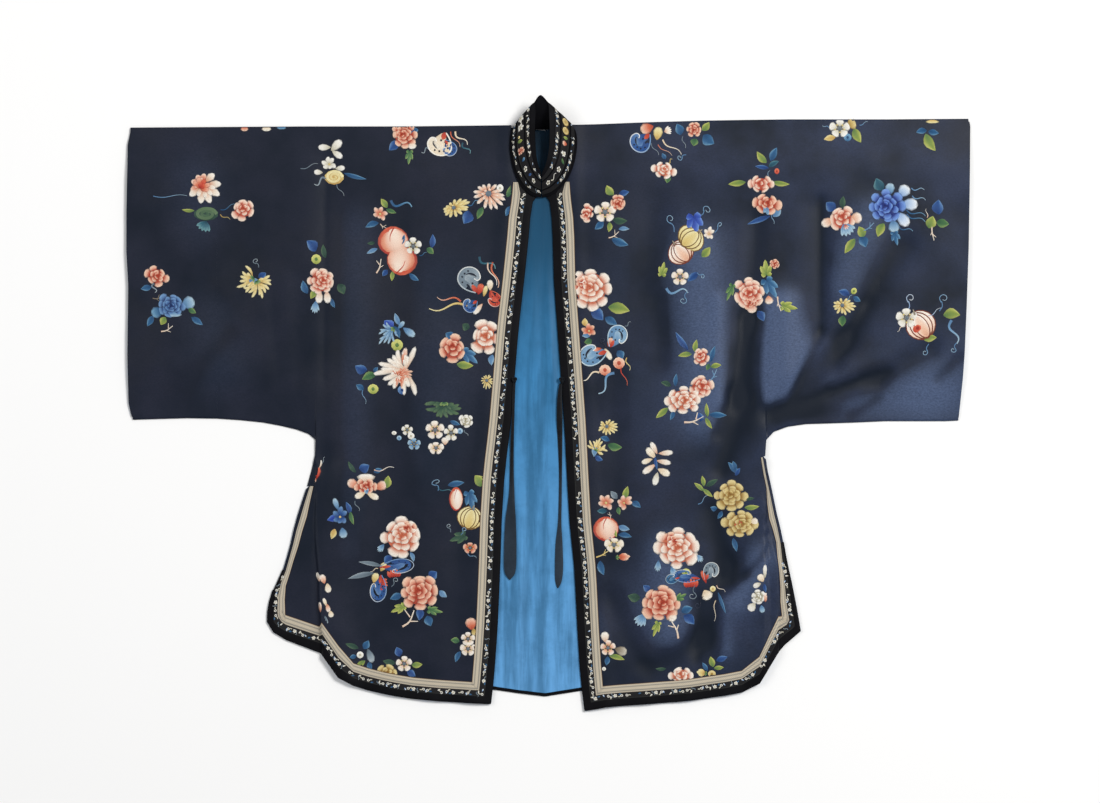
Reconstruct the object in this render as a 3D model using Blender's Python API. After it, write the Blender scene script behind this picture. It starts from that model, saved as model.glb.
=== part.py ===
"""A centre-opening embroidered silk jacket, laid flat with its fronts a little open.

Metres, +Z up. The collar points to +Y, the wearer's left sleeve lies at +X, and the
back rests on z = 0. Tables hold millimetres. The wearer's right half has side = -1.
"""

import math
from collections import namedtuple

import bmesh
import bpy
from mathutils import Vector

MM = 0.001


def table(columns, *rows):
    """Rows with named columns."""
    kind = namedtuple("Row", columns)
    return [kind(*row) for row in rows]


# Cloth and gaps.
CLOTH = 1.6
LINING = 1.0
TRIM = 1.0
COLLAR = 2.4
SEAM_GAP = 0.3
ROLL = 4.0
BACK_INSET = 6.0

# Where the sleeve extensions are sewn on, and the centre lines.
SLEEVE_SEAM_X = 564.0
CENTRE_BACK_X = -6.0
CENTRE_FRONT_X = -12.0
UNDERARM_Y = -62.0
THROAT_Y = 354.0
STRIP_END_Y = 373.0
NECK_TOP_INSET = 5.0

# Border widths across the edge: black silk, embroidered ribbon, woven braid.
BORDER_LINES = (0.0, 12.0, 22.0, 36.0)
NECK_LINE_STEP = 5.0

# Front opening edges, from the hem to the throat.
OPENING = {
    -1: table(
        "y x",
        (-523, -100), (-467, -93.5), (-385, -87.5), (-283, -83), (-201, -80.5), (-120, -75.5),
        (-38, -65.5), (43, -58.5), (125, -52), (207, -42.5), (278, -35), (320, -31.5),
        (346, -27), (420, -20),
    ),
    1: table(
        "y x",
        (-523, 62), (-467, 55), (-385, 50), (-283, 45), (-201, 36.5), (-120, 32), (-38, 28),
        (30, 23), (125, 16), (207, 10), (288, 8), (320, 6), (346, 2.5), (420, -4),
    ),
}

# Neckline of the front, from the throat to the shoulder, as a distance from the centre front.
NECKLINE = table(
    "y out",
    (346, 1), (354, 1), (366, 16), (378, 32), (392, 42), (410, 48), (432, 52), (455, 53), (490, 50),
)

# Side edge of each half: the slit from the hem up, then the seam to the underarm.
SIDE = {
    -1: table(
        "y x",
        (-388, -479), (-348, -478), (-327, -472), (-286, -453), (-246, -441), (-205, -432),
        (-164, -419), (-144, -412), (-123, -407), (-103, -400), (-82, -397), (-62, -397),
    ),
    1: table(
        "y x",
        (-388, 429), (-348, 422), (-307, 414), (-266, 405), (-225, 398), (-184, 388),
        (-144, 380), (-123, 375), (-103, 371), (-82, 368), (-62, 371),
    ),
}

# How far each border line lies in from the side edge, where the edge is rolled under.
SIDE_LINES = {
    -1: table(
        "y edge ribbon braid",
        (-388, 11, 19, 33), (-345, 10, 16, 29), (-310, 4, 7, 17), (-280, 2.5, 5, 13),
        (-230, 2.5, 5, 15), (-190, 3, 6, 17), (-144, 3, 5, 11),
    ),
    1: table(
        "y edge ribbon braid",
        (-388, 8, 15, 28), (-345, 8, 16, 27), (-300, 5, 11, 18), (-266, 3, 7, 15),
        (-232, 2.5, 5, 12), (-190, 2.5, 5, 16), (-144, 2.5, 5, 9), (-82, 2.5, 5, 8),
    ),
}

# Hem of each front, and of the back.
HEM = {
    -1: table(
        "x y",
        (-479, -371), (-470, -388), (-443, -404), (-402, -416), (-385, -426), (-371, -450),
        (-351, -473), (-303, -489), (-242, -501), (-174, -507), (-99, -511),
    ),
    1: table(
        "x y",
        (62, -522.8), (98, -516), (166, -511), (234, -506), (302, -496), (339, -489),
        (363, -473), (377, -450), (387, -428), (400, -412), (429, -387),
    ),
}
STEEPEST_HEM = 1.6
BACK_HEM = table(
    "x y",
    (-465, -360), (-380, -422), (-354, -456), (-300, -476), (-96, -487), (-48, -494),
    (-6, -499), (57, -489), (258, -487), (339, -473), (380, -419), (416, -377),
)

# Shoulder fold, sleeve underside and cuff edges.
SHOULDER = table(
    "x y",
    (-718, 470), (-412, 472), (-242, 472), (-72, 474), (64, 475), (166, 479), (268, 482),
    (404, 484), (574, 484), (718, 485),
)
UNDERSIDE = {
    -1: table(
        "x y",
        (-718, -28), (-616, -25), (-548, -26), (-480, -33), (-446, -40), (-412, -49), (-397, -62),
    ),
    1: table(
        "x y",
        (371, -62), (387, -45), (404, -40), (438, -35), (506, -33), (574, -30), (676, -30),
        (718, -28),
    ),
}
CUFF = {
    -1: table(
        "y x",
        (-28, -708), (-21, -711), (-1, -715), (81, -716.5), (203, -715), (264, -718.2),
        (326, -718.2), (411, -716.5), (448, -716.5), (470, -712),
    ),
    1: table(
        "y x",
        (-30, 698), (-1, 701), (40, 705), (81, 708), (162, 711.5), (264, 715), (468, 718.2),
        (485, 713),
    ),
}

# Pleat near each side: the folded edge of the front, which steps down to the corner.
PLEAT = {
    -1: table(
        "y x drop",
        (-423, -385, 6), (-370, -388, 6.5), (-330, -391, 6), (-292, -392, 4), (-200, -400, 1.5),
        (-120, -388, 0), (-62, -380, 0), (480, -376, 0),
    ),
    1: table(
        "y x drop",
        (-423, 391, 5), (-400, 393, 6.5), (-330, 394, 7), (-270, 391, 5), (-225, 380, 1),
        (-144, 362, 0), (-62, 352, 0), (480, 350, 0),
    ),
}
PLEAT_STEP = 2.5
PLEAT_FADE = 75.0

# Main folds of the fronts: each a line, the half width of its slopes, and its rise.
FOLDS = table(
    "x0 y0 x1 y1 half rise",
    (354, 310, 342, 142, 20, -2.5),
    (342, 142, 329, 6, 20, -4.5),
    (329, 6, 295, -113, 20, -4.0),
    (258, 260, 262, -20, 42, 3.0),
    (400, 170, 402, 10, 26, 4.0),
    (385, -20, 504, 108, 20, -4.0),
    (504, 108, 606, 269, 22, -2.5),
    (390, -14, 560, 40, 18, -3.0),
    (560, 40, 648, 92, 20, -2.0),
    (458, 330, 460, 124, 22, -2.0),
    (500, 200, 548, 320, 34, 2.0),
    (181, 345, 156, 108, 26, -1.5),
    (278, -181, 305, -283, 24, -3.5),
    (305, -283, 266, -402, 24, -3.5),
    (266, -402, 173, -450, 22, -3.0),
    (317, -334, 360, -266, 24, 3.5),
    (108, -334, 156, -436, 22, -2.5),
    (200, -250, 215, -400, 34, 2.5),
    (-376, 431, -376, -96, 24, -3.0),
    (-376, -96, -412, -317, 24, -3.0),
    (-330, 300, -335, -250, 34, 2.5),
    (-422, 210, -424, -28, 22, -2.0),
    (-600, 380, -560, 60, 46, 2.0),
    (-180, 200, -200, -300, 60, 2.0),
    (-250, 330, -262, -180, 26, -1.5),
)

# The fronts' soft fullness, which sinks towards folded, sewn and open edges.
PUFF = 5.0
PUFF_EDGE = 95.0
PUFF_FRONT_START = -18.0
PUFF_FRONT_REACH = 70.0
FOLD_FRONT_START = -10.0
FOLD_FRONT_REACH = 40.0
LOW_START = -30.0
LOW_REACH = 120.0
LOW_SHARE = 0.35
BEYOND_PLEAT_SHARE = 0.12
HEM_WAVE = 1.3
HEM_WAVE_LENGTH = 72.0
HEM_WAVE_REACH = 60.0

# The lining: how far it goes under the fronts, and its soft upright folds.
LINING_UNDERLAP = 26.0
LINING_STEP_END = 62.0
LINING_STEP_REACH = 24.0
LINING_TOP_Y = 462.0
LINING_HEM_INSET = 6.0
LINING_PUFF = 1.4
LINING_EDGE_REACH = 14.0
LINING_FADE = (300.0, 200.0)
LINING_FOLDS = table(
    "x0 y0 x1 y1 half rise",
    (-30, -268, -26, -486, 14, -1.2),
    (-2, -150, 2, -486, 16, 1.6),
    (-46, -180, -58, -486, 16, 1.2),
    (24, -250, 36, -486, 14, 0.8),
)
LINING_ROWS = (
    -470, -440, -405, -370, -330, -290, -250, -210, -165, -120, -70, -20, 30, 90, 150, 210,
    270, 330, 390, 440, LINING_TOP_Y,
)
LINING_SHARES = (0.0, 0.13, 0.22, 0.34, 0.46, 0.58, 0.70, 0.82, 0.90, 1.0)
BACK_BORDER_SPAN = (-118.0, 80.0)
BACK_BORDER_DEPTH = (0.5, 5.2)
BACK_BORDER_STEPS = 12

# Rows of the fronts above the underarm, and the steps of the rest of the grid.
YOKE_ROWS = (
    UNDERARM_Y, -28, 6, 40, 74, 108, 142, 176, 210, 245, 280, 313, 340, THROAT_Y, STRIP_END_Y,
    398, 430, 470,
)
SKIRT_STEPS = 12
PANEL_STEPS = 10
SLEEVE_STEPS = 6
SLEEVE_CROWD = 1.5
EXTENSION_STEPS = 6
EXTENSION_ROWS = 12
EXTENSION_SPAN = (-30.0, 478.0)

# Rows below the underarm at which each slit opens, and at which each border of it stops.
SLIT_ROWS = {-1: 3, 1: 1}
BORDER_STOP = {-1: (9, 9, 3), 1: (7, 7, 1)}

# Collar: base and rim of the band, then how far it bows out between them.
COLLAR_ROWS = table(
    "base_x base_y rim_x rim_y rim_z bow",
    (-13.0, 350, -12.8, 391, 30, 0),
    (-30, 355, -17, 402, 33, 1),
    (-47, 371, -20.5, 418, 36, 2),
    (-60, 398, -22, 436, 38, 3),
    (-66, 431, -23, 454, 40, 3),
    (-65, 456, -23, 474, 42, 4),
    (-59.5, 469, -22, 492, 43, 9),
    (-47, 470, -20, 507, 44, 9),
    (-28, 468, -17.5, 515, 45, 4),
    (-10, 467, -13.5, 522.8, 46, 1),
    (10, 468, -8, 515, 45, 4),
    (29, 470, -3, 506, 44, 8),
    (43, 469, 1, 492, 43, 8),
    (48.5, 452, 2, 472, 42, 4),
    (47.5, 427, 2, 450, 40, 3),
    (41, 400, 1, 431, 38, 3),
    (29, 376, -2, 414, 36, 2),
    (9, 357, -6.5, 400, 33, 1),
    (-11.0, 350, -11.2, 390, 30, 0),
)
COLLAR_SEAT_REACH = 3.4
COLLAR_SEAT_TURNS = 8
COLLAR_MIDDLE = (-11.5, 440.0)
COLLAR_HUMP = 2.0
COLLAR_SHARES = (0.0, 0.13, 0.27, 0.34, 0.62, 0.69, 0.83, 1.0)

# Ribbons round the collar, as shares of the way from base to rim.
COLLAR_RIBBONS = table(
    "name material start end",
    ("collar_ribbon_outer", "flower_ribbon", 0.13, 0.27),
    ("collar_ribbon_middle", "collar_flower_ribbon", 0.34, 0.62),
    ("collar_ribbon_inner", "flower_ribbon", 0.69, 0.83),
)

# Ties that hang from the fronts, each from its knot to its tip.
TIE_LIFT = 0.9
TIE_SIDES = 8
TIES = {
    "tie_right": table(
        "x y width thick",
        (-63.5, 41, 3, 3), (-63.5, 37, 10, 6), (-63.5, 31, 11, 6), (-64.5, 26, 5, 3),
        (-66, 10, 6, 1.4), (-68, -30, 6, 1.2), (-70, -75, 6, 1.2), (-71.5, -120, 6, 1.2),
        (-70, -150, 7, 1.2), (-67, -175, 12, 1.0), (-65, -200, 22, 1.0), (-65, -245, 24, 1.0),
        (-65.5, -285, 21, 1.0), (-66, -300, 8, 1.0),
    ),
    "tie_left": table(
        "x y width thick",
        (23, 47, 3, 3), (23, 43, 9, 5.5), (22.5, 36, 10, 5.5), (21, 31, 5, 3),
        (19, 10, 8, 1.2), (19, -30, 10, 1.2), (20, -75, 7, 1.2), (20.5, -120, 5, 1.2),
        (20, -165, 5, 1.2), (19, -205, 6, 1.2), (18, -240, 12, 1.0), (18, -280, 14, 1.0),
        (17, -302, 10, 1.0), (16, -314, 4, 1.0),
    ),
}

# Surface materials.
MATERIALS = table(
    "name colour roughness metallic",
    ("navy_silk", (0.030, 0.038, 0.065), 0.55, 0.0),
    ("black_silk", (0.008, 0.008, 0.010), 0.50, 0.0),
    ("blue_lining", (0.100, 0.290, 0.560), 0.45, 0.0),
    ("flower_ribbon", (0.160, 0.190, 0.180), 0.65, 0.0),
    ("collar_flower_ribbon", (0.380, 0.330, 0.240), 0.65, 0.0),
    ("cream_braid", (0.520, 0.460, 0.360), 0.75, 0.0),
    ("slate_tie", (0.045, 0.055, 0.070), 0.55, 0.0),
)
HALVES = {-1: "right", 1: "left"}
STRIPS = table(
    "kind material",
    ("border", "black_silk"),
    ("ribbon", "flower_ribbon"),
    ("braid", "cream_braid"),
)


# Reading the tables.

def lerp(a, b, t):
    return a + (b - a) * t


def smooth(t):
    t = min(max(t, 0.0), 1.0)
    return t * t * (3.0 - 2.0 * t)


def read(rows, key, column, at):
    """The column's value where key equals at, by straight lines between rows."""
    last = rows[0]
    for row in rows:
        if at <= getattr(row, key):
            reach = getattr(row, key) - getattr(last, key)
            share = (at - getattr(last, key)) / reach if reach else 0.0
            return lerp(getattr(last, column), getattr(row, column), max(share, 0.0))
        last = row
    return getattr(last, column)


def shoulder_y(x):
    return read(SHOULDER, "x", "y", x)


def front_hem_y(side, x):
    return read(HEM[side], "x", "y", x)


def hem_line_y(side, x, offset):
    """The y at x of a line that runs beside the hem, moved in square to it."""
    step = 6.0
    slope = (front_hem_y(side, x + step) - front_hem_y(side, x - step)) / (2.0 * step)
    return front_hem_y(side, x) + offset * math.hypot(1.0, min(abs(slope), STEEPEST_HEM))


def side_x(side, y):
    return read(SIDE[side], "y", "x", y)


def opening_x(side, y):
    """The free front edge, which swings to the centre at the throat and becomes the neckline."""
    edge = read(OPENING[side], "y", "x", y)
    neck = CENTRE_FRONT_X + side * read(NECKLINE, "y", "out", y)
    return lerp(edge, neck, smooth((y - THROAT_Y) / 11.0 + 1.0))


def inward(side, x, y):
    """Distance from the front opening into the cloth, with the neckline left out."""
    return side * (x - opening_x(side, min(y, THROAT_Y - 15.0)))


# Heights of the layers.

def fold_height(folds, x, y):
    """The sum of soft ridges and troughs, each along its own line with rounded ends."""
    total = 0.0
    for fold in folds:
        dx = fold.x1 - fold.x0
        dy = fold.y1 - fold.y0
        along = ((x - fold.x0) * dx + (y - fold.y0) * dy) / (dx * dx + dy * dy)
        near = min(max(along, 0.0), 1.0)
        away = math.hypot(x - fold.x0 - near * dx, y - fold.y0 - near * dy)
        total += fold.rise * math.exp(-((away / fold.half) ** 2))
    return total


def edge_room(side, x, y):
    """Distance to the folded and sewn edges, where the two layers lie close."""
    room = shoulder_y(x) - y
    if side * x >= side * side_x(side, UNDERARM_Y):
        room = min(room, y - read(UNDERSIDE[side], "x", "y", x))
    return max(room, 0.0)


def lining_top(x, y):
    """Height of the lining's top, level where the fronts cover it."""
    cover = smooth(-max(inward(1, x, y), inward(-1, x, y)) / LINING_EDGE_REACH)
    rise = max(fold_height(LINING_FOLDS, x, y) + LINING_PUFF, 0.0)
    fade = smooth((LINING_FADE[0] - y) / LINING_FADE[1])
    return CLOTH + SEAM_GAP + LINING + cover * rise * fade


def pleat_shares(side, x, y):
    """Rise of the pleat's folded edge, and how much of the fullness is left beyond it."""
    drop = read(PLEAT[side], "y", "drop", y)
    if y > UNDERARM_Y or drop <= 0.0:
        return 0.0, 1.0
    inside = side * (read(PLEAT[side], "y", "x", y) - x)
    step = smooth((inside + PLEAT_STEP) / (2.0 * PLEAT_STEP))
    rise = drop * step * smooth(1.0 - inside / PLEAT_FADE)
    return rise, lerp(1.0, step, min(drop / 4.0, 1.0))


def front_rise(side, x, y):
    """Height of the front's under side over the flat back."""
    near = inward(side, x, y)
    over_lining = (LINING + SEAM_GAP) * smooth((LINING_STEP_END - near) / LINING_STEP_REACH)
    room = smooth(edge_room(side, x, y) / PUFF_EDGE)
    puff = PUFF * room * smooth((near - PUFF_FRONT_START) / PUFF_FRONT_REACH)
    folds = fold_height(FOLDS, x, y) * room * smooth((near - FOLD_FRONT_START) / FOLD_FRONT_REACH)
    above_hem = y - front_hem_y(side, x)
    wave = HEM_WAVE * (1.0 + math.sin(2.0 * math.pi * x / HEM_WAVE_LENGTH))
    wave *= math.exp(-max(above_hem, 0.0) / HEM_WAVE_REACH)
    low = lerp(LOW_SHARE, 1.0, smooth((above_hem - LOW_START) / LOW_REACH))
    pleat, left = pleat_shares(side, x, y)
    lift = max((puff + folds) * low * lerp(BEYOND_PLEAT_SHARE, 1.0, left), 0.0)
    return over_lining + lift + pleat + wave * left


def front_under(side, x, y):
    return CLOTH + SEAM_GAP + front_rise(side, x, y)


def front_top(side, x, y):
    return front_under(side, x, y) + CLOTH


# The grid of a front: columns from the opening to the side, rows from the hem to the shoulder.

def panel_columns(side, y):
    """The x of each column of the front at height y."""
    edge = opening_x(side, y)
    straight = read(OPENING[side], "y", "x", y)
    columns = [edge]
    for k, line in enumerate(BORDER_LINES[1:], start=1):
        out = max(side * straight + line, side * edge + NECK_LINE_STEP * k)
        columns.append(side * out)
    outer = side_x(side, y)
    lines = [outer - side * read(SIDE_LINES[side], "y", name, y) for name in ("braid", "ribbon", "edge")]
    pleat = side * read(PLEAT[side], "y", "x", y)
    foot = min(pleat + PLEAT_STEP, side * lines[0] - 1.2)
    crest = min(pleat - PLEAT_STEP, foot - 4.0)
    start = columns[-1]
    for k in range(1, PANEL_STEPS):
        columns.append(lerp(start, side * crest, k / PANEL_STEPS))
    return columns + [side * crest, side * foot] + lines + [outer]


LAST = len(panel_columns(1, 0.0)) - 1
SKIRT_ROWS = len(BORDER_LINES) + SKIRT_STEPS - 1
TOP = SKIRT_ROWS + len(YOKE_ROWS) - 1
THROAT_ROW = SKIRT_ROWS + YOKE_ROWS.index(THROAT_Y)


def yoke_y(side, x, row):
    """Rows above the underarm bend to the sleeve's underside below and the shoulder above."""
    low = UNDERARM_Y
    if side * x > side * side_x(side, UNDERARM_Y):
        low = read(UNDERSIDE[side], "x", "y", x)
    return lerp(low, shoulder_y(x), (row - YOKE_ROWS[0]) / (YOKE_ROWS[-1] - YOKE_ROWS[0]))


def row_y(side, x, j):
    if j < len(BORDER_LINES):
        return hem_line_y(side, x, BORDER_LINES[j])
    if j < SKIRT_ROWS:
        low = hem_line_y(side, x, BORDER_LINES[-1])
        return lerp(low, UNDERARM_Y, (j - len(BORDER_LINES) + 1) / SKIRT_STEPS)
    return yoke_y(side, x, YOKE_ROWS[j - SKIRT_ROWS])


def panel_grid(side):
    """Points (x, y) of one front with its inner sleeve, keyed by column and row."""
    grid = {}
    for i in range(LAST + 1):
        for j in range(TOP + 1):
            x = panel_columns(side, -480.0)[i]
            for _ in range(12):
                y = row_y(side, x, j)
                x = lerp(x, panel_columns(side, y)[i], 0.7)
            grid[i, j] = (x, y)
    for k in range(1, SLEEVE_STEPS + 1):
        for j in range(SKIRT_ROWS, TOP + 1):
            end = side * (SLEEVE_SEAM_X - SEAM_GAP / 2.0)
            x = lerp(grid[LAST, j][0], end, (k / SLEEVE_STEPS) ** SLEEVE_CROWD)
            grid[LAST + k, j] = (x, yoke_y(side, x, YOKE_ROWS[j - SKIRT_ROWS]))
    return grid


# Building closed walls.

def make_object(name, material, bm):
    bmesh.ops.recalc_face_normals(bm, faces=bm.faces)
    mesh = bpy.data.meshes.new(name)
    bm.to_mesh(mesh)
    bm.free()
    mesh.materials.append(bpy.data.materials[material])
    mesh.shade_smooth()
    mesh.set_sharp_from_angle(angle=math.radians(40.0))
    bpy.data.collections[COLLECTION].objects.link(bpy.data.objects.new(name, mesh))


def cell_faces(a, b, c, d):
    """Two triangles of a cell, always split the same way, so that layers stay parallel."""
    return [[a, b, c], [a, c, d]]


def closed_wall(name, material, skins, faces):
    """A wall between an outer and an inner skin, closed along every free edge."""
    bm = bmesh.new()
    outer = {key: bm.verts.new(Vector(pair[0]) * MM) for key, pair in skins.items()}
    inner = {key: bm.verts.new(Vector(pair[1]) * MM) for key, pair in skins.items()}
    used = {}
    for face in faces:
        bm.faces.new([outer[key] for key in face])
        bm.faces.new([inner[key] for key in reversed(face)])
        for a, b in zip(face, face[1:] + face[:1]):
            used.setdefault(frozenset((a, b)), []).append((a, b))
    for uses in used.values():
        if len(uses) == 1:
            a, b = uses[0]
            bm.faces.new([outer[b], outer[a], inner[a], inner[b]])
    bm.normal_update()
    bmesh.ops.triangulate(bm, faces=[face for face in bm.faces if len(face.verts) > 4])
    make_object(name, material, bm)


def fold_edges(side, grid, chain, low_row, corner_column):
    """Moves a chain of grid points in by the roll, and gives the roll's own edge points."""
    edges = {}
    for i, j in chain:
        x, y = grid[i, j]
        up = 0.0
        out = 0.0
        if j == low_row:
            up = 1.0
        if i == corner_column:
            out = side
        if not up and not out:
            up = -1.0
        edges[i, j] = (x, y, x - out * CLOTH, y + up * CLOTH)
        grid[i, j] = (x - out * ROLL, y + up * ROLL)
    return edges


def join_layers(side, skins, faces, grid, chain, edges):
    """Folds the front's edge round to the back along a chain of grid points."""
    last = None
    for key in chain:
        x, y = grid[key]
        out_x, out_y, in_x, in_y = edges[key]
        middle = (front_under(side, x, y) + CLOTH) / 2.0
        skins["fold", key] = ((out_x, out_y, middle), (in_x, in_y, middle))
        skins["back", key] = ((x, y, 0.0), (x, y, CLOTH))
        if last:
            faces.append([("front", last), ("front", key), ("fold", key), ("fold", last)])
            faces.append([("fold", last), ("fold", key), ("back", key), ("back", last)])
        last = key


def add_fronts(side, skins, faces, grid, cells):
    for key, (x, y) in grid.items():
        under = front_under(side, x, y)
        skins["front", key] = ((x, y, under + CLOTH), (x, y, under))
    for i, j in cells:
        corners = [("front", key) for key in ((i, j), (i + 1, j), (i + 1, j + 1), (i, j + 1))]
        faces += cell_faces(*corners)


def flat_pair(x, y):
    return (x, y, 0.0), (x, y, CLOTH)


def build_half(side, name):
    """Half of the jacket, cut in one: front, back and inner sleeve, folded at the shoulder."""
    grid = panel_grid(side)
    slit = SKIRT_ROWS - SLIT_ROWS[side]
    end = LAST + SLEEVE_STEPS
    top_chain = [(i, TOP) for i in range(end + 1)]
    low_chain = [(i, SKIRT_ROWS) for i in range(end, LAST, -1)]
    low_chain += [(LAST, j) for j in range(SKIRT_ROWS, slit - 1, -1)]
    edges = fold_edges(side, grid, top_chain, None, None)
    edges.update(fold_edges(side, grid, low_chain, SKIRT_ROWS, LAST))
    for j in range(slit, SKIRT_ROWS + 1):
        inner_x, inner_y = grid[LAST - 2, j]
        outer_x, outer_y = grid[LAST, j]
        grid[LAST - 1, j] = (lerp(inner_x, outer_x, 0.5), lerp(inner_y, outer_y, 0.5))
    cells = [(i, j) for i in range(end) for j in range(0 if i < LAST else SKIRT_ROWS, TOP)]
    skins = {}
    faces = []
    add_fronts(side, skins, faces, grid, cells)
    join_layers(side, skins, faces, grid, top_chain, edges)
    join_layers(side, skins, faces, grid, low_chain, edges)
    centre = CENTRE_BACK_X + side * SEAM_GAP / 2.0
    hem_end = grid[LAST, 0][0] - side * 2.5 * BACK_INSET
    for i in range(LAST + 1):
        x = lerp(centre, hem_end, i / LAST)
        skins["hem", i] = flat_pair(x, read(BACK_HEM, "x", "y", x))
    slit_rows = range(slit - 2, len(BORDER_LINES) - 1, -3)
    for j in slit_rows:
        skins["slit", j] = flat_pair(grid[LAST, j][0] - side * BACK_INSET, grid[LAST, j][1])
    skins["neck", 0] = flat_pair(centre, grid[0, TOP][1] - NECK_TOP_INSET)
    for i in range(LAST):
        strip = [("hem", i), ("hem", i + 1)]
        if i == LAST - 1:
            strip += [("slit", j) for j in reversed(slit_rows)]
            strip += [("back", (LAST, j)) for j in range(slit, SKIRT_ROWS + 1)]
        strip += [("back", (i + 1, TOP)), ("back", (i, TOP))]
        if i == 0:
            strip.append(("neck", 0))
        faces.append(strip)
    for i in range(LAST, end):
        low = [("back", (i, SKIRT_ROWS)), ("back", (i + 1, SKIRT_ROWS))]
        faces.append(low + [("back", (i + 1, TOP)), ("back", (i, TOP))])
    closed_wall(name, "navy_silk", skins, faces)
    return grid


def build_extension(side, name):
    """The sleeve extension, a flattened tube from the seam to the cuff."""
    grid = {}
    start = side * (SLEEVE_SEAM_X + SEAM_GAP / 2.0)
    for i in range(EXTENSION_STEPS + 1):
        for j in range(EXTENSION_ROWS + 1):
            share = j / EXTENSION_ROWS
            cuff = read(CUFF[side], "y", "x", lerp(*EXTENSION_SPAN, share))
            x = lerp(start, cuff, i / EXTENSION_STEPS)
            grid[i, j] = (x, lerp(read(UNDERSIDE[side], "x", "y", x), shoulder_y(x), share))
    top_chain = [(i, EXTENSION_ROWS) for i in range(EXTENSION_STEPS + 1)]
    low_chain = [(i, 0) for i in range(EXTENSION_STEPS + 1)]
    edges = fold_edges(side, grid, top_chain, None, None)
    edges.update(fold_edges(side, grid, low_chain, 0, None))
    cells = [(i, j) for i in range(EXTENSION_STEPS) for j in range(EXTENSION_ROWS)]
    skins = {}
    faces = []
    add_fronts(side, skins, faces, grid, cells)
    join_layers(side, skins, faces, grid, top_chain, edges)
    join_layers(side, skins, faces, grid, low_chain, edges)
    for low, high in zip(zip(low_chain, low_chain[1:]), zip(top_chain, top_chain[1:])):
        faces.append([("back", low[0]), ("back", low[1]), ("back", high[1]), ("back", high[0])])
    closed_wall(name, "navy_silk", skins, faces)


# Borders on the fronts, made from the fronts' own points.

def ring_of(side, i, j):
    """Which border strip a cell of the front belongs to, counted in from the edge."""
    rings = [j]
    if j <= THROAT_ROW:
        rings.append(i)
    from_side = LAST - 1 - i
    if from_side < len(STRIPS) and j < SKIRT_ROWS - BORDER_STOP[side][from_side]:
        rings.append(from_side)
    return min(rings)


def moved_in(grid, key, line, step):
    """The grid point on a border's line, moved half a seam gap into that border."""
    i, j = key
    to_i = i
    to_j = j
    if i == line:
        to_i = i + step
    elif i == LAST - line:
        to_i = i - step
    if j == line:
        to_j = j + step
    x, y = grid[key]
    near_x, near_y = grid[to_i, to_j]
    corner = math.sqrt(2.0) if to_i != i and to_j != j else 1.0
    share = SEAM_GAP / 2.0 * corner / max(math.hypot(near_x - x, near_y - y), SEAM_GAP)
    return lerp(x, near_x, share), lerp(y, near_y, share)


def build_strip(side, name, material, grid, ring):
    """One border strip, on the front's own cells, along the opening, the hem and the slit."""
    skins = {}
    faces = []
    for i in range(LAST):
        for j in range(THROAT_ROW + 1):
            if ring_of(side, i, j) != ring:
                continue
            corners = ((i, j), (i + 1, j), (i + 1, j + 1), (i, j + 1))
            for key in corners:
                on_outer = ring in key or key[0] == LAST - ring
                line = ring if on_outer else ring + 1
                point = moved_in(grid, key, line, 1 if on_outer else -1) if line else grid[key]
                low = front_top(side, *grid[key]) + SEAM_GAP
                skins[key] = ((*point, low + TRIM), (*point, low))
            faces += cell_faces(*corners)
    closed_wall(name, material, skins, faces)


# The lining that shows in the opening, and the edge of the back's hem below it.

def build_lining(name):
    skins = {}
    faces = []
    for j, row in enumerate(LINING_ROWS):
        level = min(row, THROAT_Y - 15.0)
        right = opening_x(-1, level) - LINING_UNDERLAP
        left = opening_x(1, level) + LINING_UNDERLAP
        for i, share in enumerate(LINING_SHARES):
            x = lerp(right, left, share)
            y = row if j else read(BACK_HEM, "x", "y", x) + LINING_HEM_INSET
            top = lining_top(x, y)
            skins[i, j] = ((x, y, top), (x, y, top - LINING))
            if i and j:
                faces += cell_faces((i - 1, j - 1), (i, j - 1), (i, j), (i - 1, j))
    closed_wall(name, "blue_lining", skins, faces)


def build_back_border(name):
    skins = {}
    faces = []
    low = CLOTH + SEAM_GAP
    for i in range(BACK_BORDER_STEPS + 1):
        x = lerp(*BACK_BORDER_SPAN, i / BACK_BORDER_STEPS)
        for j, depth in enumerate(BACK_BORDER_DEPTH):
            y = read(BACK_HEM, "x", "y", x) + depth
            skins[i, j] = ((x, y, low + LINING), (x, y, low))
        if i:
            faces += cell_faces((i - 1, 0), (i, 0), (i, 1), (i - 1, 1))
    closed_wall(name, "black_silk", skins, faces)


# The collar and its ribbons.

def collar_seat(x, y):
    """The height that clears every layer close under the collar's base."""
    level = CLOTH + SEAM_GAP + LINING + SEAM_GAP
    for k in range(COLLAR_SEAT_TURNS):
        turn = 2.0 * math.pi * k / COLLAR_SEAT_TURNS
        near_x = x + COLLAR_SEAT_REACH * math.cos(turn)
        near_y = y + COLLAR_SEAT_REACH * math.sin(turn)
        side = 1 if near_x > CENTRE_FRONT_X else -1
        if side * (near_x - opening_x(side, near_y)) > -2.0:
            strip = SEAM_GAP + TRIM if near_y < STRIP_END_Y + 4.0 else 0.0
            level = max(level, front_top(side, near_x, near_y) + strip + SEAM_GAP)
    return level


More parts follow.
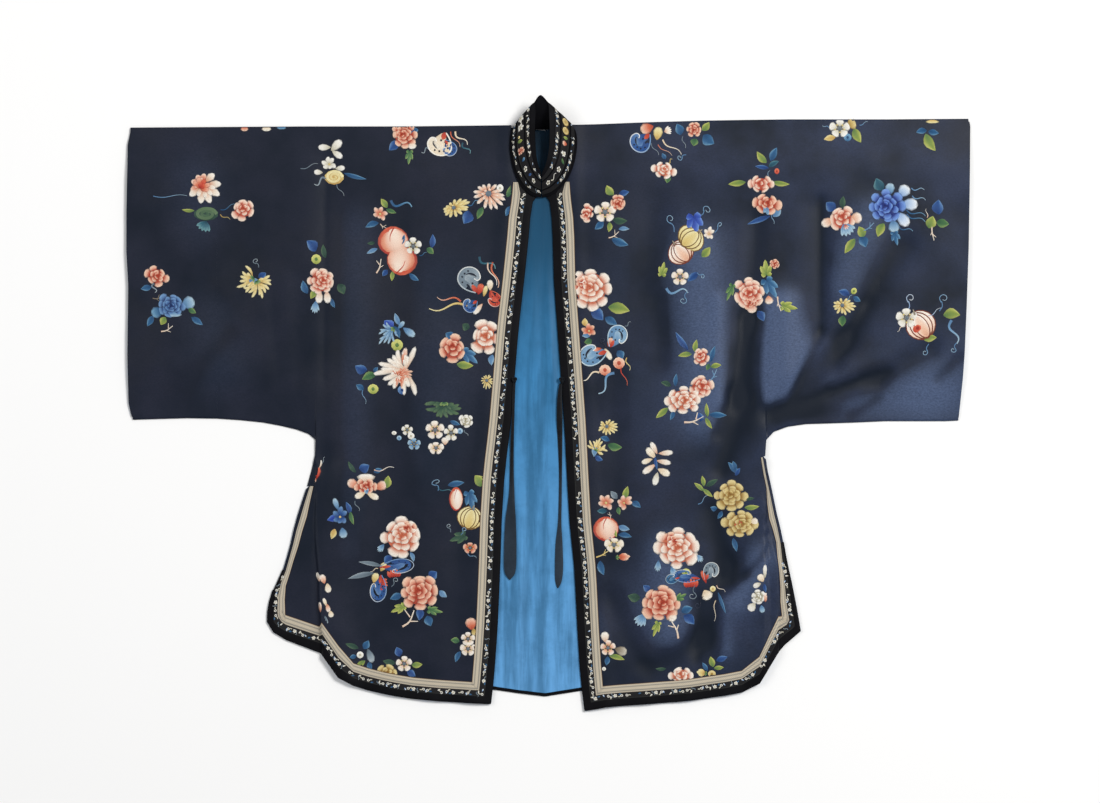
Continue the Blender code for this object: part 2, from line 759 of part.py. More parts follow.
def collar_point(row, share):
    """A point on the collar's outer face, from base at 0 to rim at 1, bowed between."""
    base = Vector((row.base_x, row.base_y, collar_seat(row.base_x, row.base_y) + COLLAR))
    rim = Vector((row.rim_x, row.rim_y, row.rim_z))
    away = Vector((base.x - COLLAR_MIDDLE[0], (base.y - COLLAR_MIDDLE[1]) * 0.8, 0.0)).normalized()
    out = away * row.bow * 0.6 + Vector((0.0, 0.0, COLLAR_HUMP + row.bow * 0.5))
    return base.lerp(rim, share) + 4.0 * share * (1.0 - share) * out


def collar_frame(n, share):
    """A point of section n of the collar's outer face, and the way out of it."""
    before = COLLAR_ROWS[max(n - 1, 0)]
    after = COLLAR_ROWS[min(n + 1, len(COLLAR_ROWS) - 1)]
    here = COLLAR_ROWS[n]
    along = collar_point(after, share) - collar_point(before, share)
    up = collar_point(here, min(share + 0.05, 1.0)) - collar_point(here, max(share - 0.05, 0.0))
    return collar_point(here, share), up.cross(along).normalized()


def build_band(name, material, shares, low, high):
    """A strip of the collar between two shares, from low to high above its outer face."""
    skins = {}
    faces = []
    for n in range(len(COLLAR_ROWS)):
        for k, share in enumerate(shares):
            here, out = collar_frame(n, share)
            skins[k, n] = (here + out * high, here + out * low)
            if n and k:
                faces += cell_faces((k - 1, n - 1), (k, n - 1), (k, n), (k - 1, n))
    closed_wall(name, material, skins, faces)


# The ties.

def under_tie(x, y):
    """The top of whatever lies under a tie: a front's border, or the lining."""
    for side in HALVES:
        if side * (x - opening_x(side, y)) > -3.0:
            return front_top(side, x, y) + SEAM_GAP + TRIM
    return lining_top(x, y)


def build_tie(name, rows):
    """A flat ribbon from its knot to its tip, made of eight-sided sections."""
    bm = bmesh.new()
    rings = []
    for row in rows:
        level = max(under_tie(row.x + share * row.width, row.y) for share in (-0.5, -0.25, 0, 0.25, 0.5))
        ring = []
        for k in range(TIE_SIDES):
            turn = 2.0 * math.pi * (k + 0.5) / TIE_SIDES
            flat = math.cos(turn) / math.cos(math.pi / TIE_SIDES)
            tall = math.sin(turn) / math.cos(math.pi / TIE_SIDES)
            z = level + TIE_LIFT + row.thick / 2.0 * (1.0 + tall)
            ring.append(bm.verts.new(Vector((row.x + row.width / 2.0 * flat, row.y, z)) * MM))
        rings.append(ring)
    for low, high in zip(rings, rings[1:]):
        for k in range(TIE_SIDES):
            after = (k + 1) % TIE_SIDES
            bm.faces.new((low[k], low[after], high[after], high[k]))
    bm.faces.new(rings[0])
    bm.faces.new(rings[-1])
    make_object(name, "slate_tie", bm)


# The scene.

COLLECTION = "silk_jacket"

for old in list(bpy.data.objects):
    bpy.data.objects.remove(old, do_unlink=True)
bpy.context.scene.collection.children.link(bpy.data.collections.new(COLLECTION))

for entry in MATERIALS:
    made = bpy.data.materials.new(entry.name)
    made.use_nodes = True
    shader = made.node_tree.nodes["Principled BSDF"]
    shader.inputs["Base Color"].default_value = (*entry.colour, 1.0)
    shader.inputs["Roughness"].default_value = entry.roughness
    shader.inputs["Metallic"].default_value = entry.metallic
    made.diffuse_color = (*entry.colour, 1.0)

for half, word in HALVES.items():
    half_grid = build_half(half, "body_" + word)
    build_extension(half, "sleeve_" + word)
    for depth_in, strip_kind in enumerate(STRIPS):
        build_strip(half, strip_kind.kind + "_" + word, strip_kind.material, half_grid, depth_in)

build_lining("lining_back")
build_back_border("border_back")
build_band("collar", "black_silk", COLLAR_SHARES, -COLLAR, 0.0)
for band in COLLAR_RIBBONS:
    build_band(band.name, band.material, (band.start, band.end), SEAM_GAP, SEAM_GAP + TRIM)
for tie_name, tie_rows in TIES.items():
    build_tie(tie_name, tie_rows)
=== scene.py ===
"""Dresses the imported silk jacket: cloth, borders, collar, ties and embroidery.

The jacket lies on its back with its collar towards +Y and the wearer's left at +X.
Tables hold millimetres, and the wearer's right half has side = -1.
"""

import math
import random
from collections import namedtuple

import bmesh
import bpy
import numpy as np
from bpy.props import FloatProperty, FloatVectorProperty, PointerProperty
from mathutils import Matrix, Vector


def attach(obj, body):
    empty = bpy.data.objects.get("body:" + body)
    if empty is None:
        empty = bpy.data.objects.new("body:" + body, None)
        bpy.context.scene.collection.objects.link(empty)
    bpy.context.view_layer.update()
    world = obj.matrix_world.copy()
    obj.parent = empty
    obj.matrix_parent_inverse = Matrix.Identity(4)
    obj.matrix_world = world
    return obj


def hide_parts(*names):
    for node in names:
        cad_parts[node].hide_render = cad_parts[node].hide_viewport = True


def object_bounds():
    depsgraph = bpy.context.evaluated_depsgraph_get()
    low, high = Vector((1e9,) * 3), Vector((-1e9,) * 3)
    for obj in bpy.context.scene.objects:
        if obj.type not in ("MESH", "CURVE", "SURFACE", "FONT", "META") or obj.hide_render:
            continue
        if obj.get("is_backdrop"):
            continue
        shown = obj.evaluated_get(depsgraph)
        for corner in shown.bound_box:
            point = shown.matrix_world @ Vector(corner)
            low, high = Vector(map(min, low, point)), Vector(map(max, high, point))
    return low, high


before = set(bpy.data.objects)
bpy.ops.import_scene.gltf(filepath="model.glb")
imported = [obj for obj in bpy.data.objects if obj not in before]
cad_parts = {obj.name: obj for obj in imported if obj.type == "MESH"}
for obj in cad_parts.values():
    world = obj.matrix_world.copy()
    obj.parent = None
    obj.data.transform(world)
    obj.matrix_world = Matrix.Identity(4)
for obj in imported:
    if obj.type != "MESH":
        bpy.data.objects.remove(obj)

bl_info = {
    "name": "Embroidered Silk Jacket",
    "version": (1, 0, 0),
    "blender": (4, 5, 0),
    "location": "3D View > Sidebar > Silk Jacket",
    "description": "Dresses a laid-out silk jacket with cloth, borders, ties and embroidery",
    "category": "Object",
}

CAD_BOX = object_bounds()
MM = 0.001


def table(columns, *rows):
    """Rows with named columns."""
    kind = namedtuple("Row", columns)
    return [kind(*row) for row in rows]


def worded(text):
    """A table written out in words and numbers: its columns' names, then rows by commas or lines."""
    columns, *rows = [line.split() for line in text.strip().replace(",", "\n").splitlines()]
    kind = namedtuple("Row", columns)
    return [kind(*(word if word[0].isalpha() else float(word) for word in row)) for row in rows]


# The layers of cloth, and the lines that the cut follows.

CLOTH = 1.6
LINING = 1.0
TRIM = 1.0
SEAM_GAP = 0.3
SEWN_GAP = 0.02
ROLL = 4.0
SLEEVE_SEAM_X = 564.0
CENTRE_BACK_X = -6.0
CENTRE_FRONT_X = -12.0
UNDERARM_Y = -62.0
THROAT_Y = 354.0
STRIP_END_Y = 373.0
NECK_TOP_INSET = 5.0
BACK_INSET = 6.0
BORDER_LINES = (0.0, 12.0, 22.0, 36.0)
NECK_LINE_STEP = 5.0
NECK_TURN = 11.0
OPENING_TOP_Y = THROAT_Y - 15.0

OPENING = {
    -1: worded("""
        y x
        -523 -100, -467 -93.5, -385 -87.5, -283 -83, -201 -80.5, -120 -75.5, -38 -65.5, 43 -58.5, 125 -52
        207 -42.5, 278 -35, 320 -31.5, 346 -27, 420 -20
    """),
    1: worded("""
        y x
        -523 62, -467 55, -385 50, -283 45, -201 36.5, -120 32, -38 28, 30 23, 125 16, 207 10, 288 8
        320 6, 346 2.5, 420 -4
    """),
}
NECKLINE = worded("""
    y out
    346 1, 354 1, 366 16, 378 32, 392 42, 410 48, 432 52, 455 53, 490 50
""")
SIDE = {
    -1: worded("""
        y x
        -388 -479, -348 -478, -327 -472, -286 -453, -246 -441, -205 -432, -164 -419, -144 -412, -123 -407
        -103 -400, -82 -397, -62 -397
    """),
    1: worded("""
        y x
        -388 429, -348 422, -307 414, -266 405, -225 398, -184 388, -144 380, -123 375, -103 371, -82 368
        -62 371
    """),
}
SIDE_LINES = {
    -1: worded("""
        y edge ribbon braid
        -388 11 19 33, -345 10 16 29, -310 4 7 17, -280 2.5 5 13, -230 2.5 5 15, -190 3 6 17, -144 3 5 11
    """),
    1: worded("""
        y edge ribbon braid
        -388 8 15 28, -345 8 16 27, -300 5 11 18, -266 3 7 15, -232 2.5 5 12, -190 2.5 5 16, -144 2.5 5 9
        -82 2.5 5 8
    """),
}
HEM = {
    -1: worded("""
        x y
        -479 -371, -470 -388, -443 -404, -402 -416, -385 -426, -371 -450, -351 -473, -303 -489, -242 -501
        -174 -507, -99 -511
    """),
    1: worded("""
        x y
        62 -522.8, 98 -516, 166 -511, 234 -506, 302 -496, 339 -489, 363 -473, 377 -450, 387 -428
        400 -412, 429 -387
    """),
}
STEEPEST_HEM = 1.6
HEM_SLOPE_STEP = 6.0
BACK_HEM = worded("""
    x y
    -465 -360, -380 -422, -354 -456, -300 -476, -96 -487, -48 -494, -6 -499, 57 -489, 258 -487, 339 -473
    380 -419, 416 -377
""")
SHOULDER = worded("""
    x y
    -718 470, -412 472, -242 472, -72 474, 64 475, 166 479, 268 482, 404 484, 574 484, 718 485
""")
UNDERSIDE = {
    -1: worded("""
        x y
        -718 -28, -616 -25, -548 -26, -480 -33, -446 -40, -412 -49, -397 -62
    """),
    1: worded("""
        x y
        371 -62, 387 -45, 404 -40, 438 -35, 506 -33, 574 -30, 676 -30, 718 -28
    """),
}
CUFF = {
    -1: worded("""
        y x
        -28 -708, -21 -711, -1 -715, 81 -716.5, 203 -715, 264 -718.2, 326 -718.2, 411 -716.5, 448 -716.5
        470 -712
    """),
    1: worded("""
        y x
        -30 698, -1 701, 40 705, 81 708, 162 711.5, 264 715, 468 718.2, 485 713
    """),
}
PLEAT = {
    -1: worded("""
        y x drop
        -423 -385 6, -370 -388 6.5, -330 -391 6, -292 -392 4, -200 -400 1.5, -120 -388 0, -62 -380 0
        480 -376 0
    """),
    1: worded("""
        y x drop
        -423 391 5, -400 393 6.5, -330 394 7, -270 391 5, -225 380 1, -144 362 0, -62 352 0, 480 350 0
    """),
}
PLEAT_STEP = 2.5
PLEAT_FADE = 75.0
PLEAT_FULL_DROP = 4.0
PLEAT_ROOM = 1.2
PLEAT_LEAST = 4.0
FOLDS = worded("""
    x0 y0 x1 y1 half rise
    354 310 342 142 20 -2.5, 342 142 329 6 20 -4.5, 329 6 295 -113 20 -4.0, 258 260 262 -20 42 3.0
    400 170 402 10 26 4.0, 385 -20 504 108 20 -4.0, 504 108 606 269 22 -2.5, 390 -14 560 40 18 -3.0
    560 40 648 92 20 -2.0, 458 330 460 124 22 -2.0, 500 200 548 320 34 2.0, 181 345 156 108 26 -1.5
    278 -181 305 -283 24 -3.5, 305 -283 266 -402 24 -3.5, 266 -402 173 -450 22 -3.0
    317 -334 360 -266 24 3.5, 108 -334 156 -436 22 -2.5, 200 -250 215 -400 34 2.5
    -376 431 -376 -96 24 -3.0, -376 -96 -412 -317 24 -3.0, -330 300 -335 -250 34 2.5
    -422 210 -424 -28 22 -2.0, -600 380 -560 60 46 2.0, -180 200 -200 -300 60 2.0
    -250 330 -262 -180 26 -1.5
""")
CREASES = worded("""
    x0 y0 x1 y1 half rise
    463 346 464 125 9 -1.2, 464 125 407 -13 9 -1.6, 489 64 541 171 12 -1.3, 541 171 586 269 12 -1.0
    419 -6 477 20 8 -2.2, 477 20 541 43 8 -2.2, 541 43 579 54 9 -1.6, 516 -20 562 8 9 -1.2
    664 43 698 77 10 -1.3, 339 157 317 20 11 -1.8, 317 20 288 -52 11 -1.8, 288 176 286 6 13 1.5
    377 176 374 6 12 1.5, 186 176 192 74 18 -1.3, 255 -334 252 -436 11 -1.7, 300 -334 302 -420 12 1.4
    366 -258 336 -292 8 -1.9, 336 -292 314 -305 8 -1.6, -376 400 -380 40 10 -0.9
    -470 190 -455 20 14 -1.2, -540 120 -640 10 16 -1.1, -150 -180 -158 -420 16 -1.1
    -290 -260 -300 -430 14 -1.1, 110 60 118 -160 18 -0.9
""")
# Pools of painted sheen on the silk's colour; a pool with a negative share is painted shade.
SHEEN_POOLS = worded("""
    x y wide high share
    385 55 26 75 0.30, 445 80 50 66 0.45, 650 20 80 60 0.52, 530 0 90 30 0.24, 664 391 60 60 -0.08
    172 200 60 100 0.10, 130 -360 70 60 0.18, 310 -390 60 60 0.05, 168 20 60 130 0.05
    440 -12 46 16 -0.75, 345 -30 26 60 -0.3, -530 230 90 60 -0.08, -410 -160 30 80 -0.2
    -170 -300 200 160 -0.1
""")
# Faint waves all over the silk: sin((x_part * x + y_part * y) / length + sway * sin(x / swing) + phase).
CRINKLES = worded("""
    rise x_part y_part length sway swing phase
    0.22 1 0.8 17 1.1 43 0, 0.16 -0.5 1 11 1.7 29 2
""")
CRINKLE_CROSS = table("rise x_length sway swing y_length phase", (0.32, 21.0, 1.3, 57.0, 74.0, 0.7))[0]
CRINKLE_SWELL = table("middle change x_length y_length", (0.6, 0.4, 130.0, 170.0))[0]
# How strongly the painted sheen on ridges and the painted shade in troughs follow the folds at either side,
# and the rise that paints them fully.
PAINTED_LIGHT_ON_FOLDS = (0.2, 1.0)
PAINTED_LIGHT_START_X = -40.0
PAINTED_LIGHT_REACH = 160.0
FULLY_PAINTED_FOLD = 7.0
FULLY_PAINTED_CREASE = 5.0
SEAM_DIP = {-1: 0.0, 1: 0.03}
SEAM_WIDTH = 2.0
PUCKER = table("rise length swing reach", (0.15, 3.1, 19.0, 9.0))[0]
FINE_START = 0.6
FINE_REACH = 1.6
PUFF = 5.0
PUFF_EDGE = 95.0
PUFF_FRONT_START = -18.0
PUFF_FRONT_REACH = 70.0
FOLD_FRONT_START = -10.0
FOLD_FRONT_REACH = 40.0
LOW_START = -30.0
LOW_REACH = 120.0
LOW_SHARE = 0.35
BEYOND_PLEAT_SHARE = 0.12
HEM_WAVE = 1.3
HEM_WAVE_LENGTH = 72.0
HEM_WAVE_REACH = 60.0
LINING_UNDERLAP = 26.0
LINING_STEP_END = 62.0
LINING_STEP_REACH = 24.0
LINING_TOP_Y = 462.0
LINING_HEM_INSET = 6.0
LINING_PUFF = 1.4
LINING_EDGE_REACH = 14.0
LINING_FADE = (300.0, 200.0)
LINING_CRINKLE = table("rise length sway swing swell_y swell_x", (0.3, 4.6, 1.2, 90.0, 140.0, 30.0))[0]
LINING_FOLDS = worded("""
    x0 y0 x1 y1 half rise
    -30 -268 -26 -486 14 -1.2, -2 -150 2 -486 16 1.6, -46 -180 -58 -486 16 1.2, 24 -250 36 -486 14 0.8
""")
YOKE_ROWS = (
    UNDERARM_Y, -28, 6, 40, 74, 108, 142, 176, 210, 245, 280, 313, 340, THROAT_Y, STRIP_END_Y,
    398, 430, 470,
)
SKIRT_STEPS = 12
PANEL_STEPS = 10
SLEEVE_STEPS = 6
SLEEVE_CROWD = 1.5
SLIT_ROWS = {-1: 3, 1: 1}
BORDER_STOP = {-1: (9, 9, 3), 1: (7, 7, 1)}
EXTENSION_SPAN = (-30.0, 478.0)
BACK_CORNER_INSET = 15.0

COLLAR_ROWS = worded("""
    base_x base_y rim_x rim_y rim_z bow
    -13.0 350 -12.8 391 30 0, -30 355 -17 402 33 1, -47 371 -20.5 418 36 2, -60 398 -22 436 38 3
    -66 431 -23 454 40 3, -65 456 -23 474 42 4, -59.5 469 -22 492 43 9, -47 470 -23 506 44 10
    -28 468 -20 515.5 45 6, -10 467 -13.5 521 46 2, 10 468 -6 515.5 45 6, 29 470 0 505 44 9
    43 469 1 492 43 8, 48.5 452 2 472 42 4, 47.5 427 2 450 40 3, 41 400 1 431 38 3, 29 376 -2 414 36 2
    9 357 -6.5 400 33 1, -11.0 350 -11.2 390 30 0
""")
COLLAR = 2.4
COLLAR_SEAT_REACH = 3.4
COLLAR_SEAT_TURNS = 8
COLLAR_MIDDLE = (-11.5, 440.0)
COLLAR_HUMP = 2.0
COLLAR_BOW = (0.6, 0.5)
COLLAR_FLATTEN = 0.8
COLLAR_OVERHANG = 2.0
COLLAR_STRIP_REACH = 4.0
TIES = {
    "right": worded("""
        x y width
        -58.5 35 5, -59.5 10 5, -60.5 -30 5, -62 -75 6, -62.5 -120 7, -62.5 -150 9, -63.5 -175 13
        -64.5 -200 18, -65 -245 21, -65.5 -285 19, -66 -300 2
    """),
    "left": worded("""
        x y width
        21 34 5, 19 10 8, 19 -30 10, 20 -75 7, 20.5 -120 5, 20 -165 5, 19 -205 6, 18 -240 12, 18 -280 14
        17 -302 11, 16 -314 2
    """),
}
TIE_KNOTS = worded("""
    side x y
    right -58.0 40, left 22.5 40
""")
TIE_SIDES = {"right": -1, "left": 1}
TIE_LIFT = 0.9
TIE_CROWN = 0.9
TIE_CROWN_WIDTH = 9.0
TIE_CLEARANCE = 0.8
TIE_OVERLAP = 3.0
TIE_WAVE = table("rise length swell", (0.25, 16.0, 51.0))[0]
TIE_TWIST = table("rise turns", (0.15, 2.4))[0]
TIE_LEVEL_REACH = 5
TIE_LEVEL_BLUR = 7
KNOT = table("x y loops radius high sway", (1.24, 1.71, 2.0, 1.35, 2.9, 1.2))[0]
BACK_HEM_Y = -490.0
BACK_BORDER_SPAN = (-118.0, 80.0)
BACK_BORDER_DEPTH = (0.0, 0.7, 5.2)
BACK_BORDER_TURN = table("reach drop", (0.6, 0.5))[0]
COLLAR_RIBBONS = table(
    "piece node finish slot start end width length",
    ("collar_trim_outer", "collar_ribbon_outer", "Flower ribbon", "flower_ribbon", 0.13, 0.27, 10, 330),
    (
        "collar_trim_middle", "collar_ribbon_middle", "Collar ribbon", "collar_flower_ribbon",
        0.34, 0.62, 18, 310,
    ),
    ("collar_trim_inner", "collar_ribbon_inner", "Flower ribbon", "flower_ribbon", 0.69, 0.83, 10, 240),
)
SIDE_WORDS = {-1: "right", 1: "left"}
STRIPS = table(
    "piece node finish slot lift crown width length",
    ("black_edge", "border", "Black silk", "black_silk", 0.7, 0.25, 15, {-1: 1.55, 1: 1.55}),
    ("narrow_ribbon", "ribbon", "Flower ribbon", "flower_ribbon", 0.75, 0.15, 10, {-1: 1.5, 1: 1.5}),
    ("woven_braid", "braid", "Cream braid", "cream_braid", 0.8, 0.6, 14, {-1: 1.5, 1: 1.5}),
)
EDGE_TURNS = ((0.7, 0.3), (0.3, 0.7), (-0.1, 1.2))
STAGE = table(
    "floor drop sky lens sensor x y frame above", (9.0, 0.0003, 0.4, 100.0, 36.0, 2.55, 3.4, 1870.0, 0.012),
)[0]
SKY_COLOUR = (0.95, 0.97, 1.0, 1.0)
LAMP_COLOUR = (1.0, 0.985, 0.96)
LAMPS = table(
    "name x y z size energy",
    ("Soft key", 3.4, 2.3, 6.0, 2.4, 405.0),
    ("Low fill", -4.0, 1.0, 4.0, 3.0, 66.0),
)

CHART = table("square x y", (1.7, 548.5, 403.5))[0]
STITCH_LIFT = 0.4
STITCH_STEP = 0.16
STITCH_LAYERS = 4
STITCH_OVERLAP = 0.28
STITCH_CLEAR = table("border shoulder slit cuff", (0.4, 1.5, 0.5, 1.0))[0]
RIBBON_TOP = SEAM_GAP + 1.05
COLLAR_TOP = SEAM_GAP + 1.15

# How finely each stretch of the cloth is meshed.
BORDER_CUTS = 3
PANEL_CUTS = 6
PLEAT_CUTS = 3
EDGE_CUTS = 2
SLEEVE_CUTS = 7
SKIRT_CUTS = 5
YOKE_CUTS = 5
ROLL_CUTS = 6
NET_TURNS = 12
NET_EASE = 0.7
NET_START_Y = -480.0
BACK_HEM_CUTS = 24
BACK_SIDE_STRIDE = 4
PATH_STEP = 2.0
EXTENSION_NET = (29, 81)
LINING_NET = (57, 111)
BACK_EDGE_POINTS = 49
COLLAR_SECTIONS = 145
COLLAR_SHARES = 25
TIE_ROWS = 120
TIE_COLUMNS = 7
KNOT_POINTS = 48
KNOT_CUTS = 8
# In degrees: cloth folded more sharply than this is creased.
CREASE = 60.0
STRIP_CREASE = 70.0
# The upright part of a face's normal, above which it counts as lying flat.
LYING = 0.8
# In metres: points closer than these are one.
WELD = 0.00002
FINE_WELD = 0.00001


# Reading the tables, with whole arrays of points at once.

def lerp(a, b, t):
    return a + (b - a) * t


def smooth(t):
    t = np.clip(t, 0.0, 1.0)
    return t * t * (3.0 - 2.0 * t)


def read(rows, key, column, at):
    return np.interp(at, [getattr(row, key) for row in rows], [getattr(row, column) for row in rows])


def shoulder_y(x):
    return read(SHOULDER, "x", "y", x)


def underside_y(side, x):
    return read(UNDERSIDE[side], "x", "y", x)


def front_hem_y(side, x):
    return read(HEM[side], "x", "y", x)


def hem_line_y(side, x, offset):
    rise = front_hem_y(side, x + HEM_SLOPE_STEP) - front_hem_y(side, x - HEM_SLOPE_STEP)
    slope = np.minimum(np.abs(rise / (2.0 * HEM_SLOPE_STEP)), STEEPEST_HEM)
    return front_hem_y(side, x) + offset * np.hypot(1.0, slope)


def side_x(side, y):
    return read(SIDE[side], "y", "x", y)


def opening_x(side, y):
    edge = read(OPENING[side], "y", "x", y)
    neck = CENTRE_FRONT_X + side * read(NECKLINE, "y", "out", y)
    return lerp(edge, neck, smooth((y - THROAT_Y) / NECK_TURN + 1.0))


def inward(side, x, y):
    """How far a point lies in from a front's opening."""
    return side * (x - opening_x(side, np.minimum(y, OPENING_TOP_Y)))


def lining_cover(x, y):
    """1 where the lining shows between the fronts, 0 under them."""
    return smooth(-np.maximum(inward(1, x, y), inward(-1, x, y)) / LINING_EDGE_REACH)


def lining_fade(y):
    return smooth((LINING_FADE[0] - y) / LINING_FADE[1])


def fold_height(folds, x, y):
    total = np.zeros(np.shape(x))
    for fold in folds:
        dx = fold.x1 - fold.x0
        dy = fold.y1 - fold.y0
        along = np.clip(((x - fold.x0) * dx + (y - fold.y0) * dy) / (dx * dx + dy * dy), 0.0, 1.0)
        away = np.hypot(x - fold.x0 - along * dx, y - fold.y0 - along * dy)
        total += fold.rise * np.exp(-((away / fold.half) ** 2))
    return total


def edge_room(side, x, y):
    room = shoulder_y(x) - y
    sleeve = side * x >= side * side_x(side, UNDERARM_Y)
    return np.maximum(np.where(sleeve, np.minimum(room, y - underside_y(side, x)), room), 0.0)


def lining_top(x, y):
    rise = np.maximum(fold_height(LINING_FOLDS, x, y) + LINING_PUFF, 0.0)
    return CLOTH + SEAM_GAP + LINING + lining_cover(x, y) * rise * lining_fade(y)


def pleat_shares(side, x, y):
    """How far a front drops at its side pleat, and the share of its puff that is left there."""
    drop = np.where(y > UNDERARM_Y, 0.0, read(PLEAT[side], "y", "drop", y))
    inside = side * (read(PLEAT[side], "y", "x", y) - x)
    step = smooth((inside + PLEAT_STEP) / (2.0 * PLEAT_STEP))
    left = lerp(1.0, step, np.minimum(drop / PLEAT_FULL_DROP, 1.0))
    return drop * step * smooth(1.0 - inside / PLEAT_FADE), left


def crinkle(x, y):
    """Small uneven waves of lived-in silk, in millimetres."""
    cross, swell = CRINKLE_CROSS, CRINKLE_SWELL
    waves = cross.rise * np.sin(x / cross.x_length + cross.sway * np.sin(y / cross.swing))
    waves = waves * np.sin(y / cross.y_length + cross.phase)
    for row in CRINKLES:
        run = (row.x_part * x + row.y_part * y) / row.length
        waves = waves + row.rise * np.sin(run + row.sway * np.sin(x / row.swing) + row.phase)
    return waves * (swell.middle + swell.change * np.sin(x / swell.x_length + y / swell.y_length))


def seam_dip(side, x, y):
    """The sunk line and small puckers where the sleeve extension is sewn on."""
    off = np.abs(side * x - SLEEVE_SEAM_X)
    line = -SEAM_DIP[side] * np.exp(-((off / SEAM_WIDTH) ** 2))
    puckers = PUCKER.rise * np.sin(y / PUCKER.length + np.sin(y / PUCKER.swing))
    return line + puckers * np.exp(-off / PUCKER.reach)


def painted_light_share(x, y):
    """Painted light on the silk: 0.5 is plain, higher is painted sheen on fold ridges and in the sheen's
    pools, lower is painted shade in troughs; one half gets less.
    """
    folds = fold_height(FOLDS, x, y) / FULLY_PAINTED_FOLD + fold_height(CREASES, x, y) / FULLY_PAINTED_CREASE
    pools = np.zeros(np.shape(x))
    for pool in SHEEN_POOLS:
        away = ((x - pool.x) / pool.wide) ** 2 + ((y - pool.y) / pool.high) ** 2
        pools += pool.share * np.exp(-away)
    strength = lerp(*PAINTED_LIGHT_ON_FOLDS, smooth((x - PAINTED_LIGHT_START_X) / PAINTED_LIGHT_REACH))
    return np.clip(0.5 + strength * folds + pools, 0.0, 1.0)


def front_rise(side, x, y):
    """How high a front lies over its own flat place: puffed, folded, pleated and crinkled."""
    near = inward(side, x, y)
    over_lining = (LINING + SEAM_GAP) * smooth((LINING_STEP_END - near) / LINING_STEP_REACH)
    room = smooth(edge_room(side, x, y) / PUFF_EDGE)
    puff = PUFF * room * smooth((near - PUFF_FRONT_START) / PUFF_FRONT_REACH)
    folds = fold_height(FOLDS + CREASES, x, y) * room * smooth((near - FOLD_FRONT_START) / FOLD_FRONT_REACH)
    above_hem = y - front_hem_y(side, x)
    wave = HEM_WAVE * (1.0 + np.sin(2.0 * np.pi * x / HEM_WAVE_LENGTH))
    wave = wave * np.exp(-np.maximum(above_hem, 0.0) / HEM_WAVE_REACH)
    low = lerp(LOW_SHARE, 1.0, smooth((above_hem - LOW_START) / LOW_REACH))
    pleat, left = pleat_shares(side, x, y)
    fine = (crinkle(x, y) + seam_dip(side, x, y)) * room
    lift = np.maximum((puff + folds) * low * lerp(BEYOND_PLEAT_SHARE, 1.0, left), 0.0)
    return over_lining + lift + pleat + wave * left + fine * smooth((lift - FINE_START) / FINE_REACH)


def front_top(side, x, y):
    return 2.0 * CLOTH + SEAM_GAP + front_rise(side, x, y)


def skin(x, y):
    """The top of the fronts and sleeves, rounded off at the shoulder fold."""
    x = np.asarray(x, float)
    y = np.asarray(y, float)
    top = np.where(x > CENTRE_FRONT_X, front_top(1, x, y), front_top(-1, x, y))
    short = np.clip(1.0 - (shoulder_y(x) - y) / ROLL, 0.0, 1.0)
    return lerp(top * 0.5, top, np.sqrt(1.0 - short ** 2))


# The net of a front, as columns from its opening to its side and rows from hem to shoulder.

def panel_columns(side, y):
    edge = opening_x(side, y)
    straight = read(OPENING[side], "y", "x", y)
    columns = [edge]
    for k, line in enumerate(BORDER_LINES[1:], start=1):
        columns.append(side * np.maximum(side * straight + line, side * edge + NECK_LINE_STEP * k))
    outer = side_x(side, y)
    lines = [outer - side * read(SIDE_LINES[side], "y", name, y) for name in ("braid", "ribbon", "edge")]
    pleat = side * read(PLEAT[side], "y", "x", y)
    foot = np.minimum(pleat + PLEAT_STEP, side * lines[0] - PLEAT_ROOM)
    crest = np.minimum(pleat - PLEAT_STEP, foot - PLEAT_LEAST)
    start = columns[-1]
    for k in range(1, PANEL_STEPS):
        columns.append(lerp(start, side * crest, k / PANEL_STEPS))
    return np.array(columns + [side * crest, side * foot] + lines + [outer])


LAST = len(panel_columns(1, np.zeros(1))) - 1
SKIRT_ROWS = len(BORDER_LINES) + SKIRT_STEPS - 1
TOP = SKIRT_ROWS + len(YOKE_ROWS) - 1
THROAT_ROW = SKIRT_ROWS + YOKE_ROWS.index(THROAT_Y)


def yoke_y(side, x, row):
    sleeve = side * x > side * side_x(side, UNDERARM_Y)
    low = np.where(sleeve, underside_y(side, x), UNDERARM_Y)
    return lerp(low, shoulder_y(x), (row - YOKE_ROWS[0]) / (YOKE_ROWS[-1] - YOKE_ROWS[0]))


def row_y(side, x, j):
    if j < len(BORDER_LINES):
        return hem_line_y(side, x, BORDER_LINES[j])
    if j < SKIRT_ROWS:
        low = hem_line_y(side, x, BORDER_LINES[-1])
        return lerp(low, UNDERARM_Y, (j - len(BORDER_LINES) + 1) / SKIRT_STEPS)
    return yoke_y(side, x, YOKE_ROWS[j - SKIRT_ROWS])


def panel_net(side):
    """Arrays of x and y for one front with its inner sleeve, [column, row]."""
    across = np.arange(LAST + 1)
    x = np.repeat(panel_columns(side, np.full(1, NET_START_Y)), TOP + 1, axis=1)
    y = np.zeros(x.shape)
    for _ in range(NET_TURNS):
        for j in range(TOP + 1):
            y[:, j] = row_y(side, x[:, j], j)
        x = lerp(x, panel_columns(side, y)[across, across, :], NET_EASE)
    seam = side * (SLEEVE_SEAM_X - SEWN_GAP / 2.0)
    for k in range(1, SLEEVE_STEPS + 1):
        more = lerp(x[LAST], seam, (k / SLEEVE_STEPS) ** SLEEVE_CROWD)
        rows = [yoke_y(side, more[j], YOKE_ROWS[max(j - SKIRT_ROWS, 0)]) for j in range(TOP + 1)]
        x = np.vstack([x, more])
        y = np.vstack([y, rows])
    return x, y


def finer(counts):
    """Places along a net at which each of its steps is cut into that many."""
    places = [i + k / count for i, count in enumerate(counts) for k in range(count)]
    return np.array(places + [float(len(counts))])


